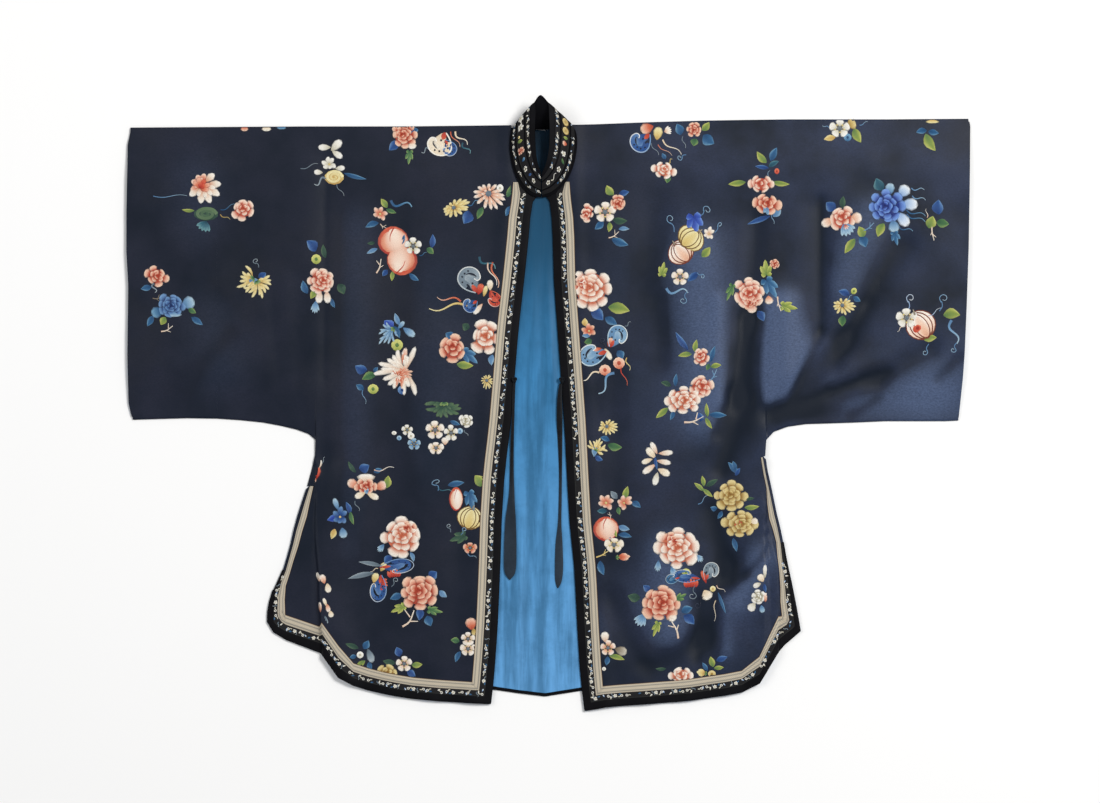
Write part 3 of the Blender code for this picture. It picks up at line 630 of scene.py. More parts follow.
COLUMN_PLACES = finer(
    [BORDER_CUTS] * 3 + [PANEL_CUTS] * PANEL_STEPS + [PLEAT_CUTS] * 2 + [EDGE_CUTS] * 3
    + [SLEEVE_CUTS] * SLEEVE_STEPS
)
ROW_PLACES = finer([BORDER_CUTS] * 3 + [SKIRT_CUTS] * SKIRT_STEPS + [YOKE_CUTS] * (TOP - SKIRT_ROWS))


def between(values, columns, rows):
    """Values of a net at places between its columns and rows."""
    i = np.minimum(columns.astype(int), values.shape[0] - 2)
    j = np.minimum(rows.astype(int), values.shape[1] - 2)
    s = (columns - i)[:, None]
    t = rows - j
    low = lerp(values[i][:, j], values[i + 1][:, j], s)
    high = lerp(values[i][:, j + 1], values[i + 1][:, j + 1], s)
    return lerp(low, high, t)


NETS = {
    half: [between(axis, COLUMN_PLACES, ROW_PLACES) for axis in panel_net(half)] for half in SIDE_WORDS
}
SIDE_COLUMN = int(np.searchsorted(COLUMN_PLACES, LAST))
ARM_ROW = int(np.searchsorted(ROW_PLACES, SKIRT_ROWS))


def ring_of(side, column, row):
    """Which border strip a cell of the net lies in, counted in from the edge."""
    rings = [row]
    if row <= THROAT_ROW:
        rings.append(column)
    from_side = LAST - 1 - column
    if from_side < 3 and row < SKIRT_ROWS - BORDER_STOP[side][from_side]:
        rings.append(from_side)
    return min(rings)


# Meshes.

def faces_round(verts):
    """The faces at some vertices, once each and always in the same order."""
    return list(dict.fromkeys(face for vert in verts for face in vert.link_faces))


def grid_of(bm, points, uvs=None, keep=None):
    """Lays a grid over an array of points [i, j] in millimetres, without the cells not to keep."""
    columns, rows = points.shape[:2]
    made = bmesh.ops.create_grid(bm, x_segments=columns - 1, y_segments=rows - 1, size=0.5)["verts"]
    place = {vert: (n % columns, n // columns) for n, vert in enumerate(made)}
    layer = bm.loops.layers.uv.get("UVMap") or bm.loops.layers.uv.new("UVMap")
    flat = points[..., :2] * MM if uvs is None else uvs
    gone = []
    for face in faces_round(made):
        for loop in face.loops:
            loop[layer].uv = flat[place[loop.vert]]
        corner = tuple(np.min([place[vert] for vert in face.verts], axis=0))
        if keep is not None and not keep[corner]:
            gone.append(face)
    for vert, (i, j) in place.items():
        vert.co = Vector(points[i, j]) * MM
    if gone:
        bmesh.ops.delete(bm, geom=gone, context="FACES")


def face_up(bm, faces):
    """Turns loose cloth so that its face side looks up."""
    if sum(face.normal.z * face.calc_area() for face in faces) < 0.0:
        bmesh.ops.reverse_faces(bm, faces=bm.faces)


def loose_cloth(points, uvs=None, keep=None):
    """A sheet of cloth on its own, face side up."""
    bm = bmesh.new()
    grid_of(bm, points, uvs, keep)
    bm.normal_update()
    face_up(bm, bm.faces)
    return bm


def make_piece(context, name, bm, material, sharp=None):
    """A visible piece that lies fixed. Its cut edges stay sharp, so that walls don't shade round."""
    rims = [edge.is_boundary for edge in bm.edges]
    mesh = bpy.data.meshes.new(name)
    bm.to_mesh(mesh)
    bm.free()
    for entry in material if isinstance(material, (list, tuple)) else [material]:
        mesh.materials.append(entry)
    mesh.shade_smooth()
    if sharp is not None:
        mesh.set_sharp_from_angle(angle=math.radians(sharp))
    if any(rims):
        layer = mesh.attributes.get("sharp_edge")
        layer = layer or mesh.attributes.new("sharp_edge", "BOOLEAN", "EDGE")
        for item, rim in zip(layer.data, rims):
            item.value = item.value or rim
    piece = bpy.data.objects.new(name, mesh)
    context.scene.collection.objects.link(piece)
    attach(piece, "root")
    return piece


def give_painted_light(piece):
    """Stores the silk's painted sheen and painted shade at each point, for its finish to read."""
    spots = np.array([vert.co[:] for vert in piece.data.vertices]) / MM
    layer = piece.data.attributes.new("Fade", "FLOAT", "POINT")
    layer.data.foreach_set("value", painted_light_share(spots[:, 0], spots[:, 1]))


def give_wall(piece, thickness, inner=0):
    """Gives cloth its thickness, in millimetres, under its face."""
    wall = piece.modifiers.new("Cloth wall", "SOLIDIFY")
    wall.thickness = thickness * MM
    wall.offset = -1.0
    wall.use_even_offset = False
    wall.material_offset = inner


def rolled(x, y, top, out_x, out_y):
    """Points from a front's edge round its fold to the back, [point, step, xyz]."""
    steps = np.linspace(0.0, np.pi, ROLL_CUTS + 1)[None, :]
    reach = np.sin(steps) * ROLL
    return np.stack([
        x[:, None] + out_x[:, None] * reach,
        y[:, None] + out_y[:, None] * reach,
        top[:, None] * (1.0 + np.cos(steps)) / 2.0,
    ], axis=-1)


def fill_back(bm, outline):
    """Lays one flat sheet of cloth inside a closed outline of points on the floor."""
    verts = [bm.verts.new((x * MM, y * MM, 0.0)) for x, y in outline]
    edges = [bm.edges.new(pair) for pair in zip(verts, verts[1:] + verts[:1])]
    bmesh.ops.triangle_fill(bm, use_beauty=True, edges=edges, normal=(0.0, 0.0, -1.0))


def join_cloth(bm):
    """Welds the laid sheets into one, with its face side outwards."""
    bmesh.ops.remove_doubles(bm, verts=bm.verts, dist=WELD)
    bmesh.ops.recalc_face_normals(bm, faces=bm.faces)
    bm.faces.ensure_lookup_table()
    bm.normal_update()
    level = 2.0 * CLOTH * MM
    top = [face for face in bm.faces if abs(face.normal.z) > LYING and face.calc_center_median().z > level]
    face_up(bm, top)


def body_cloth(side):
    """One half of the jacket: its front and inner sleeve, rolled round to a flat back."""
    x, y = [axis.copy() for axis in NETS[side]]
    end = x.shape[0] - 1
    high = x.shape[1] - 1
    slit = int(np.searchsorted(ROW_PLACES, SKIRT_ROWS - SLIT_ROWS[side]))
    top_chain = [(i, high) for i in range(end + 1)]
    low_chain = [(i, ARM_ROW) for i in range(end, SIDE_COLUMN, -1)]
    low_chain += [(SIDE_COLUMN, j) for j in range(ARM_ROW, slit - 1, -1)]
    outs = {}
    for i, j in top_chain:
        outs[i, j] = (0.0, 1.0)
    for i, j in low_chain:
        outs[i, j] = (float(side) if i == SIDE_COLUMN else 0.0, -1.0 if j == ARM_ROW else 0.0)
    for (i, j), (out_x, out_y) in outs.items():
        x[i, j] -= out_x * ROLL
        y[i, j] -= out_y * ROLL
    inner = SIDE_COLUMN - 2 * EDGE_CUTS
    arm = slice(slit, ARM_ROW + 1)
    for i in range(inner + 1, SIDE_COLUMN):
        for axis in (x, y):
            share = (i - inner) / (SIDE_COLUMN - inner)
            axis[i, arm] = lerp(axis[inner, arm], axis[SIDE_COLUMN, arm], share)
    keep = np.ones((end, high), bool)
    keep[SIDE_COLUMN:, :ARM_ROW] = False
    bm = bmesh.new()
    tops = front_top(side, x, y)
    grid_of(bm, np.stack([x, y, tops], axis=-1), keep=keep)
    for chain in (top_chain, low_chain):
        spots = tuple(np.array(chain).T)
        away = np.array([outs[key] for key in chain])
        grid_of(bm, rolled(x[spots], y[spots], tops[spots], away[:, 0], away[:, 1]))
    centre = CENTRE_BACK_X + side * SEAM_GAP / 2.0
    hem_end = x[SIDE_COLUMN, 0] - side * BACK_CORNER_INSET
    hem = [lerp(centre, hem_end, k / BACK_HEM_CUTS) for k in range(BACK_HEM_CUTS + 1)]
    outline = [(hx, float(read(BACK_HEM, "x", "y", hx))) for hx in hem]
    first = int(np.searchsorted(ROW_PLACES, len(BORDER_LINES) + 1))
    stations = range(first, slit - 2, BACK_SIDE_STRIDE)
    outline += [(x[SIDE_COLUMN, j] - side * BACK_INSET, y[SIDE_COLUMN, j]) for j in stations]
    outline += [(x[key], y[key]) for key in reversed(low_chain)]
    outline += [(x[key], y[key]) for key in reversed(top_chain)]
    outline.append((centre, y[0, high] - NECK_TOP_INSET))
    fill_back(bm, outline)
    join_cloth(bm)
    return bm


def extension_net(side):
    """Points (x, y) of the sleeve extension, [column, row]."""
    across = np.linspace(0.0, 1.0, EXTENSION_NET[0])[:, None]
    up = np.linspace(0.0, 1.0, EXTENSION_NET[1])[None, :]
    start = side * (SLEEVE_SEAM_X + SEWN_GAP / 2.0)
    cuff = read(CUFF[side], "y", "x", lerp(*EXTENSION_SPAN, up))
    x = lerp(start, cuff, across)
    return x, lerp(underside_y(side, x), shoulder_y(x), up)


def extension_cloth(side):
    """The sleeve extension, a flattened tube."""
    x, y = extension_net(side)
    end, high = x.shape[0] - 1, x.shape[1] - 1
    y[:, high] -= ROLL
    y[:, 0] += ROLL
    tops = front_top(side, x, y)
    bm = bmesh.new()
    grid_of(bm, np.stack([x, y, tops], axis=-1))
    for j, out in ((high, 1.0), (0, -1.0)):
        grid_of(bm, rolled(x[:, j], y[:, j], tops[:, j], np.zeros(end + 1), np.full(end + 1, out)))
    outline = [(x[i, 0], y[i, 0]) for i in range(end + 1)]
    outline += [(x[i, high], y[i, high]) for i in range(end, -1, -1)]
    fill_back(bm, outline)
    join_cloth(bm)
    return bm


# Borders, laid on the fronts' own net.

def strip_cloth(side, ring, lift, crown):
    """One border strip with its width across as V, and its length along as U, in metres."""
    x, y = [axis[:SIDE_COLUMN + 1] for axis in NETS[side]]
    columns = COLUMN_PLACES[:SIDE_COLUMN + 1]
    cells_i = columns[:-1].astype(int)
    cells_j = ROW_PLACES[:-1].astype(int)
    keep = np.array([[ring_of(side, i, j) == ring for j in cells_j] for i in cells_i])
    depths = np.stack([
        np.broadcast_to(columns[:, None] - ring, x.shape),
        np.broadcast_to(ROW_PLACES[None, :] - ring, x.shape),
        np.broadcast_to(LAST - ring - columns[:, None], x.shape),
    ])
    depth = np.clip(depths.min(axis=0), 0.0, 1.0)
    along = np.where(depths.argmin(axis=0) == 1, x, y) * MM
    top = front_top(side, x, y) + SEAM_GAP + lift + crown * np.sin(np.pi * depth)
    return loose_cloth(np.stack([x, y, top], axis=-1), np.stack([along, depth], axis=-1), keep)


def outer_edges(bm):
    """The edges that run along the outer side of a strip."""
    layer = bm.loops.layers.uv["UVMap"]
    found = []
    for edge in bm.edges:
        if edge.is_boundary:
            loop = edge.link_loops[0]
            if max(loop[layer].uv.y, loop.link_loop_next[layer].uv.y) < 0.01:
                found.append(edge)
    return found


def wrap_edge(bm, turns):
    """Turns a strip's outer edge down over the cloth, by steps of out and down."""
    edges = outer_edges(bm)
    away = {}
    for edge in edges:
        middle = edge.link_faces[0].calc_center_median()
        run = edge.verts[1].co - edge.verts[0].co
        out = Vector((run.y, -run.x, 0.0)).normalized()
        if out.dot(edge.verts[0].co - middle) < 0.0:
            out = -out
        for vert in edge.verts:
            away[vert] = away.get(vert, Vector()) + out
    for out, down in turns:
        made = bmesh.ops.extrude_edge_only(bm, edges=edges)["geom"]
        edges = [item for item in made if isinstance(item, bmesh.types.BMEdge)]
        turned = {}
        for vert in (item for item in made if isinstance(item, bmesh.types.BMVert)):
            for edge in vert.link_edges:
                old = edge.other_vert(vert)
                if old in away:
                    turned[vert] = away[old]
            vert.co += turned[vert].normalized() * out * MM
            vert.co.z -= down * MM
        away = turned


def run_along(points):
    """How far each of a row of points is from the first, along them."""
    return np.concatenate([[0.0], np.cumsum(np.linalg.norm(np.diff(points, axis=0), axis=1))])


def strip_path(side, ring):
    """Points at even steps along the middle of a strip: opening, hem, then slit."""
    x, y = NETS[side]
    columns = COLUMN_PLACES[:SIDE_COLUMN + 1]
    middle = ring + 0.5
    low = np.interp(middle, ROW_PLACES, np.arange(len(ROW_PLACES)))
    left = np.interp(middle, columns, np.arange(len(columns)))
    right = np.interp(LAST - middle, columns, np.arange(len(columns)))
    top_row = int(np.searchsorted(ROW_PLACES, THROAT_ROW))
    stop = int(np.searchsorted(ROW_PLACES, SKIRT_ROWS - BORDER_STOP[side][ring]))
    places = [(left, j) for j in range(top_row, int(low) + 1, -1)] + [(left, low)]
    places += [(i, low) for i in range(int(left) + 1, int(right) + 1)] + [(right, low)]
    places += [(right, j) for j in range(int(low) + 1, stop + 1)]
    at = np.array(places)
    points = np.array([
        [between(axis, at[k:k + 1, 0], at[k:k + 1, 1])[0, 0] for axis in (x, y)] for k in range(len(at))
    ])
    run = run_along(points)
    spots = np.arange(0.0, run[-1], PATH_STEP)
    return np.stack([np.interp(spots, run, points[:, k]) for k in (0, 1)], axis=-1)


def through(points, count):
    """A smooth curve through rows of numbers, read at count even places."""
    points = np.asarray(points, float)
    spread = np.concatenate([2 * points[:1] - points[1:2], points, 2 * points[-1:] - points[-2:-1]])
    at = np.linspace(0.0, len(points) - 1.0, count)
    i = np.minimum(at.astype(int), len(points) - 2)
    t = (at - i).reshape((-1,) + (1,) * (points.ndim - 1))
    a, b, c, d = (spread[i + k] for k in range(4))
    return b + 0.5 * t * (c - a + t * (2 * a - 5 * b + 4 * c - d + t * (3 * (b - c) + d - a)))


# The collar, as a net of points and of directions out of it, [along, share].

def collar_seat(x, y):
    """The highest cloth under the collar's foot, all round a point of it."""
    level = CLOTH + SEAM_GAP + LINING + SEAM_GAP
    for k in range(COLLAR_SEAT_TURNS):
        turn = 2.0 * math.pi * k / COLLAR_SEAT_TURNS
        near_x = x + COLLAR_SEAT_REACH * math.cos(turn)
        near_y = y + COLLAR_SEAT_REACH * math.sin(turn)
        side = 1 if near_x > CENTRE_FRONT_X else -1
        if side * (near_x - opening_x(side, near_y)) > -COLLAR_OVERHANG:
            strip = SEAM_GAP + TRIM if near_y < STRIP_END_Y + COLLAR_STRIP_REACH else 0.0
            level = max(level, float(front_top(side, near_x, near_y)) + strip + SEAM_GAP)
    return level


def collar_net(shares):
    """Points of the collar at shares of its height, and the directions out of it."""
    base = [(r.base_x, r.base_y, collar_seat(r.base_x, r.base_y) + COLLAR) for r in COLLAR_ROWS]
    base = through(base, COLLAR_SECTIONS)
    rim = through([(r.rim_x, r.rim_y, r.rim_z) for r in COLLAR_ROWS], COLLAR_SECTIONS)
    bow = through([(r.bow,) for r in COLLAR_ROWS], COLLAR_SECTIONS)
    away = (base[:, :2] - COLLAR_MIDDLE) * (1.0, COLLAR_FLATTEN)
    away /= np.linalg.norm(away, axis=1)[:, None]
    out = np.concatenate([away * bow * COLLAR_BOW[0], COLLAR_HUMP + bow * COLLAR_BOW[1]], axis=-1)
    s = np.asarray(shares)[None, :, None]
    points = lerp(base[:, None], rim[:, None], s) + 4.0 * s * (1.0 - s) * out[:, None]
    normal = np.cross(np.gradient(points, axis=1), np.gradient(points, axis=0))
    return points, normal / np.linalg.norm(normal, axis=2)[..., None]


def band_cloth(start, end, lift, crown, cuts=6):
    """A strip of the collar between two shares of its height, with V across and U along."""
    shares = np.linspace(start, end, cuts + 1)
    points, normal = collar_net(shares)
    hump = crown * np.sin(np.pi * np.linspace(0.0, 1.0, cuts + 1))
    points = points + normal * (lift + hump)[None, :, None]
    run = run_along(points[:, cuts // 2]) * MM
    across = np.broadcast_to(np.linspace(0.0, 1.0, cuts + 1)[None, :], points.shape[:2])
    return loose_cloth(points, np.stack([np.broadcast_to(run[:, None], points.shape[:2]), across], axis=-1))


# The lining, the back's edge and the ties.

def lining_cloth():
    share = np.linspace(0.0, 1.0, LINING_NET[0])[:, None]
    t = np.linspace(0.0, 1.0, LINING_NET[1])[None, :]
    level = np.minimum(lerp(BACK_HEM_Y, LINING_TOP_Y, t), OPENING_TOP_Y)
    right = opening_x(-1, level) - LINING_UNDERLAP
    left = opening_x(1, level) + LINING_UNDERLAP
    x = lerp(right, left, share)
    y = lerp(read(BACK_HEM, "x", "y", x) + LINING_HEM_INSET, LINING_TOP_Y, t)
    wave = LINING_CRINKLE
    fine = wave.rise * np.sin(x / wave.length + wave.sway * np.sin(y / wave.swing))
    fine = fine * (1.0 + np.sin(y / wave.swell_y + x / wave.swell_x))
    z = lining_top(x, y) + lining_cover(x, y) * fine * lining_fade(y)
    return loose_cloth(np.stack([x, y, z], axis=-1))


def back_edge_cloth():
    depth = np.array(BACK_BORDER_DEPTH)[None, :]
    x = np.repeat(np.linspace(*BACK_BORDER_SPAN, BACK_EDGE_POINTS)[:, None], depth.size, axis=1)
    y = read(BACK_HEM, "x", "y", x) + depth
    turned = np.where(depth < BACK_BORDER_TURN.reach, BACK_BORDER_TURN.drop, 0.0)
    z = np.broadcast_to(CLOTH + SEAM_GAP + LINING - turned, x.shape)
    return loose_cloth(np.stack([x, y, z], axis=-1))


def under_tie(x, y):
    """The top of whatever lies under a tie: a front's border, or the lining."""
    top = lining_top(x, y)
    for side in (-1, 1):
        over = side * (x - opening_x(side, y)) > -TIE_OVERLAP
        top = np.where(over, front_top(side, x, y) + SEAM_GAP + TRIM, top)
    return top


def tie_cloth(side):
    """A tie ribbon, from its knot to its pointed tip."""
    rows = through(TIES[side], TIE_ROWS)
    across = np.linspace(-1.0, 1.0, TIE_COLUMNS)
    x = rows[:, :1] + across[None, :] * rows[:, 2:] / 2.0
    y = np.repeat(rows[:, 1:2], len(across), axis=1)
    level = under_tie(x, y).max(axis=1)
    reach, blur = TIE_LEVEL_REACH, TIE_LEVEL_BLUR
    level = np.array([level[max(k - reach, 0):k + reach + 1].max() for k in range(len(level))])
    level = np.convolve(np.pad(level, blur // 2, mode="edge"), np.full(blur, 1.0 / blur), mode="valid")
    along = rows[:, 1]
    wave = TIE_WAVE.rise * np.sin(along / TIE_WAVE.length) * np.abs(np.sin(along / TIE_WAVE.swell))
    fold = TIE_CROWN * (1.0 - across[None, :] ** 2) * np.minimum(1.0, TIE_CROWN_WIDTH / rows[:, 2:])
    twist = TIE_TWIST.rise * np.sin(TIE_TWIST.turns * across)[None, :]
    z = (level + TIE_LIFT + TIE_CLEARANCE + wave)[:, None] + fold + twist
    run = np.broadcast_to(-rows[:, 1:2] * MM, x.shape)
    uvs = np.stack([run, np.broadcast_to((across[None, :] + 1.0) / 2.0, x.shape)], axis=-1)
    return loose_cloth(np.stack([x, y, z], axis=-1), uvs)


def tube(bm, path, radius):
    """A round cord along points that close on themselves."""
    path = np.asarray(path)
    heading = np.roll(path, -1, axis=0) - np.roll(path, 1, axis=0)
    heading /= np.linalg.norm(heading, axis=1)[:, None]
    side = np.cross(heading, (0.0, 0.0, 1.0))
    side /= np.linalg.norm(side, axis=1)[:, None]
    up = np.cross(side, heading)
    turn = np.linspace(0.0, 2.0 * np.pi, KNOT_CUTS + 1)[None, :, None]
    ring = path[:, None] + radius * (side[:, None] * np.cos(turn) + up[:, None] * np.sin(turn))
    grid_of(bm, np.concatenate([ring, ring[:1]]))
    bmesh.ops.remove_doubles(bm, verts=bm.verts, dist=FINE_WELD)
    bmesh.ops.recalc_face_normals(bm, faces=bm.faces)


def knot_cord(row):
    """A small three-looped knot of the tie's own ribbon."""
    turn = np.linspace(0.0, 2.0 * np.pi, KNOT_POINTS + 1)[:-1]
    side = TIE_SIDES[row.side]
    low = float(front_top(side, row.x + side * TIE_OVERLAP, row.y)) + SEAM_GAP + TRIM
    path = np.stack([
        row.x + KNOT.x * (np.sin(turn) + KNOT.loops * np.sin(2.0 * turn)),
        row.y + KNOT.y * (np.cos(turn) - KNOT.loops * np.cos(2.0 * turn)),
        low + TIE_LIFT + KNOT.high - KNOT.sway * np.sin(3.0 * turn),
    ], axis=-1)
    bm = bmesh.new()
    tube(bm, path, KNOT.radius)
    return bm


# Finishes. Noises have a scale, detail and roughness, and low to high is spread to least to most.

CLOUDS = {row.name: row for row in worded("""
    name scale detail rough low high least most
    patches 7 4 0.55 0.32 0.62 0 1
    rubbed 3.1 5 0.6 0.52 0.68 0 0.6
    specks 240 4 0.8 0.34 0.62 0 1
    streaks 46 4 0.6 0.38 0.58 0.3 1
    stains 22 5 0.7 0.36 0.54 0.5 1
    worn 60 4 0.55 0.3 0.7 0.7 1
""")}
SHEEN_ROUGHNESS = 0.35
# Spans of the colours' changes along X or Y, in metres.
# Over this span of X the navy silk takes on a painted sheen towards +X.
PAINTED_SHEEN_SIDE_SPAN = (-0.05, 0.35)
# Along this span of Y the lining runs from painted shade at the neck to bright at the hem.
LINING_SPAN = (0.47, -0.5)
DEEP_REACH = 0.08
DEEP_SILK = (0.004, 0.004, 0.005)
# The darker colour of woven strips, both for painted shade in the twill and for worn patches.
RIBBON_WEAR_AND_TWILL_SHADE = (0.05, 0.04, 0.035)
FLOSS = (0.6, 0.5, 0.45)
FLOSS_SHADE = (0.02, 0.02, 0.03)


def dimmed(colour, share):
    return tuple(share * part for part in colour)


def add(tree, kind, inputs=None, **settings):
    made = tree.nodes.new(kind)
    for key, value in settings.items():
        setattr(made, key, value)
    for key, value in (inputs or {}).items():
        if isinstance(value, bpy.types.NodeSocket):
            tree.links.new(value, made.inputs[key])
        else:
            made.inputs[key].default_value = value
    return made


def start_finish(name, colour, roughness, sheen=0.0, sheen_tint=(1.0, 1.0, 1.0), specular=0.5):
    """Makes a plain finish, and returns its nodes and its shader for more to be added."""
    made = bpy.data.materials.new(name)
    made.use_nodes = True
    shader = made.node_tree.nodes["Principled BSDF"]
    shader.inputs["Base Color"].default_value = (*colour, 1.0)
    shader.inputs["Roughness"].default_value = roughness
    shader.inputs["Specular IOR Level"].default_value = specular
    shader.inputs["Sheen Weight"].default_value = sheen
    shader.inputs["Sheen Roughness"].default_value = SHEEN_ROUGHNESS
    shader.inputs["Sheen Tint"].default_value = (*sheen_tint, 1.0)
    made.diffuse_color = (*colour, 1.0)
    return made.node_tree, shader


def blend(tree, share, first, second, kind="MIX"):
    """Mixes two colours by a share, and returns the colour's socket."""
    made = add(tree, "ShaderNodeMix", data_type="RGBA", blend_type=kind)
    for socket, value in ((made.inputs[0], share), (made.inputs[6], first), (made.inputs[7], second)):
        if isinstance(value, bpy.types.NodeSocket):
            tree.links.new(value, socket)
        elif hasattr(value, "__len__"):
            socket.default_value = (*value[:3], 1.0)
        else:
            socket.default_value = value
    return made.outputs[2]


def spread_range(tree, value, low, high, to_low=0.0, to_high=1.0):
    settings = {"Value": value, "From Min": low, "From Max": high, "To Min": to_low, "To Max": to_high}
    return add(tree, "ShaderNodeMapRange", settings).outputs["Result"]


def noise(tree, vector, scale, detail=3.0, roughness=0.55):
    settings = {"Vector": vector, "Scale": scale, "Detail": detail, "Roughness": roughness}
    return add(tree, "ShaderNodeTexNoise", settings).outputs["Fac"]


def clouds(tree, vector, name, scale=None):
    """One of the noises, plain and as a share."""
    row = CLOUDS[name]
    plain = noise(tree, vector, scale or row.scale, row.detail, row.rough)
    return plain, spread_range(tree, plain, row.low, row.high, row.least, row.most)


def stretched(tree, vector, scale):
    return add(tree, "ShaderNodeMapping", {"Vector": vector, "Scale": scale}).outputs["Vector"]


def bands(tree, vector, pitch_mm, direction="X", distortion=0.0):
    """Even bands, that many millimetres apart on a vector in metres."""
    scale = 2.0 * math.pi / 20.0 / (pitch_mm * MM)
    settings = {"Vector": vector, "Scale": scale, "Distortion": distortion}
    return add(
        tree, "ShaderNodeTexWave", settings, wave_type="BANDS", bands_direction=direction,
    ).outputs["Fac"]


def bump(tree, shader, height, strength, depth_mm):
    made = add(
        tree, "ShaderNodeBump", {"Height": height, "Strength": strength, "Distance": depth_mm * MM},
    )
    chained = shader.inputs["Normal"]
    if chained.is_linked:
        tree.links.new(chained.links[0].from_socket, made.inputs["Normal"])
    tree.links.new(made.outputs["Normal"], chained)


def weave_finish(name, dark, light, painted_sheen_side, roughness, sheen, tint, pitch, cloud=None, gloss=0.1,
                 worn=None, painted_ridge_sheen=None, deep_above=None):
    """Woven silk: cloudy colour with a painted sheen that lightens it towards +X and on fold ridges,
    painted shade in fold troughs, and a fine plain weave.
    """
    tree, shader = start_finish(name, light, roughness, sheen, tint, gloss)
    place = add(tree, "ShaderNodeTexCoord").outputs["Object"]
    x = add(tree, "ShaderNodeSeparateXYZ", {"Vector": place}).outputs["X"]
    # Painted sheen: the colour lightens towards +X.
    painted_sheen_colour = blend(tree, spread_range(tree, x, *PAINTED_SHEEN_SIDE_SPAN), light, painted_sheen_side)
    colour = blend(tree, clouds(tree, place, "patches", cloud)[1], dark, painted_sheen_colour)
    if worn is not None:
        colour = blend(tree, clouds(tree, place, "rubbed")[1], colour, worn)
        # Painted shade in the folds' troughs and painted sheen on their ridges, read from the stored
        # painted light.
        share = add(tree, "ShaderNodeAttribute", attribute_name="Fade").outputs["Fac"]
        colour = blend(tree, spread_range(tree, share, low=0.5, high=0.0), colour, dark)
        colour = blend(tree, spread_range(tree, share, low=0.5, high=1.0), colour, painted_ridge_sheen)
    if deep_above is not None:
        y = add(tree, "ShaderNodeSeparateXYZ", {"Vector": place}).outputs["Y"]
        deep = spread_range(tree, y, deep_above - DEEP_REACH, deep_above)
        colour = blend(tree, deep, colour, DEEP_SILK)
    specks = clouds(tree, stretched(tree, place, (1.0, 1.6, 1.0)), "specks")[1]
    colour = blend(tree, specks, blend(tree, 0.45, colour, dark), colour)
    tree.links.new(colour, shader.inputs["Base Color"])
    warp = bands(tree, place, pitch, "X")
    weft = bands(tree, place, pitch * 0.8, "Y")
    cross = add(tree, "ShaderNodeMath", {0: warp, 1: weft}, operation="MULTIPLY").outputs[0]
    bump(tree, shader, cross, strength=0.35, depth_mm=0.12)
    bump(tree, shader, noise(tree, place, scale=260.0), strength=0.25, depth_mm=0.25)


def lining_finish(name, dark, middle, bright, roughness):
    """Thin blue silk with painted shade that deepens into the neck and is nearly black at its top, bright
    at the hem, with soft upright streaks.
    """
    tree, shader = start_finish(
        name, middle, roughness, sheen=0.06, sheen_tint=(0.7, 0.85, 1.0), specular=0.15,
    )
    place = add(tree, "ShaderNodeTexCoord").outputs["Object"]
    y = add(tree, "ShaderNodeSeparateXYZ", {"Vector": place}).outputs["Y"]
    ramp = add(tree, "ShaderNodeValToRGB", {"Fac": spread_range(tree, y, *LINING_SPAN)})
    # Painted shade: nearly black under the collar, then dark in the neck.
    shade = dimmed(dark, 0.12)
    colour_stops(ramp, (
        (0.0, shade), (0.03, shade), (0.07, dimmed(dark, 0.55)), (0.22, dark), (0.44, middle),
        (1.0, bright),
    ))
    streaks, streaked = clouds(tree, stretched(tree, place, (1.0, 0.1, 1.0)), "streaks")
    deep = blend(tree, 0.75, ramp.outputs["Color"], dark)
    colour = blend(tree, streaked, deep, ramp.outputs["Color"])
    colour = blend(tree, clouds(tree, place, "stains")[1], blend(tree, 0.45, colour, dark), colour)
    tree.links.new(colour, shader.inputs["Base Color"])
    bump(tree, shader, bands(tree, place, pitch_mm=0.9), strength=0.25, depth_mm=0.1)
    bump(tree, shader, streaks, strength=0.5, depth_mm=0.8)


def colour_stops(ramp, stops):
    """Sets a ramp's places and colours."""
    points = ramp.color_ramp.elements
    points[0].position, points[1].position = stops[0][0], stops[-1][0]
    points[0].color, points[1].color = (*stops[0][1], 1.0), (*stops[-1][1], 1.0)
    for place, colour in stops[1:-1]:
        points.new(place).color = (*colour, 1.0)


def strip_finish(name, stops, roughness, across_mm, rib, cross_rib, depth):
    """A woven strip: its colours run across it on V, and its ribs follow its length on U."""
    middle = stops[len(stops) // 2][1]
    tree, shader = start_finish(name, middle, roughness, sheen=0.02, specular=0.12)
    flat = add(tree, "ShaderNodeUVMap", uv_map="UVMap").outputs["UV"]
    v = add(tree, "ShaderNodeSeparateXYZ", {"Vector": flat}).outputs["Y"]
    ramp = add(tree, "ShaderNodeValToRGB", {"Fac": v})
    colour_stops(ramp, stops)
    even = stretched(tree, flat, (1.0, across_mm * MM, 1.0))
    twill = bands(tree, even, rib, "DIAGONAL", distortion=0.4)
    ribs = bands(tree, even, cross_rib, "X")
    worn = clouds(tree, stretched(tree, flat, (1.0, 0.01, 1.0)), "worn")[1]
    # Painted shade in the twill's hollows, and worn patches, both towards the darker colour.
    wear_and_twill_shade = blend(tree, 0.45, ramp.outputs["Color"], RIBBON_WEAR_AND_TWILL_SHADE)
    lit = spread_range(tree, twill, low=0.1, high=0.9, to_low=0.55)
    colour = blend(tree, lit, wear_and_twill_shade, ramp.outputs["Color"])
    colour = blend(tree, worn, blend(tree, 0.35, colour, wear_and_twill_shade), colour)
    tree.links.new(colour, shader.inputs["Base Color"])
    bump(tree, shader, twill, strength=0.5, depth_mm=depth)
    bump(tree, shader, ribs, strength=0.4, depth_mm=depth)


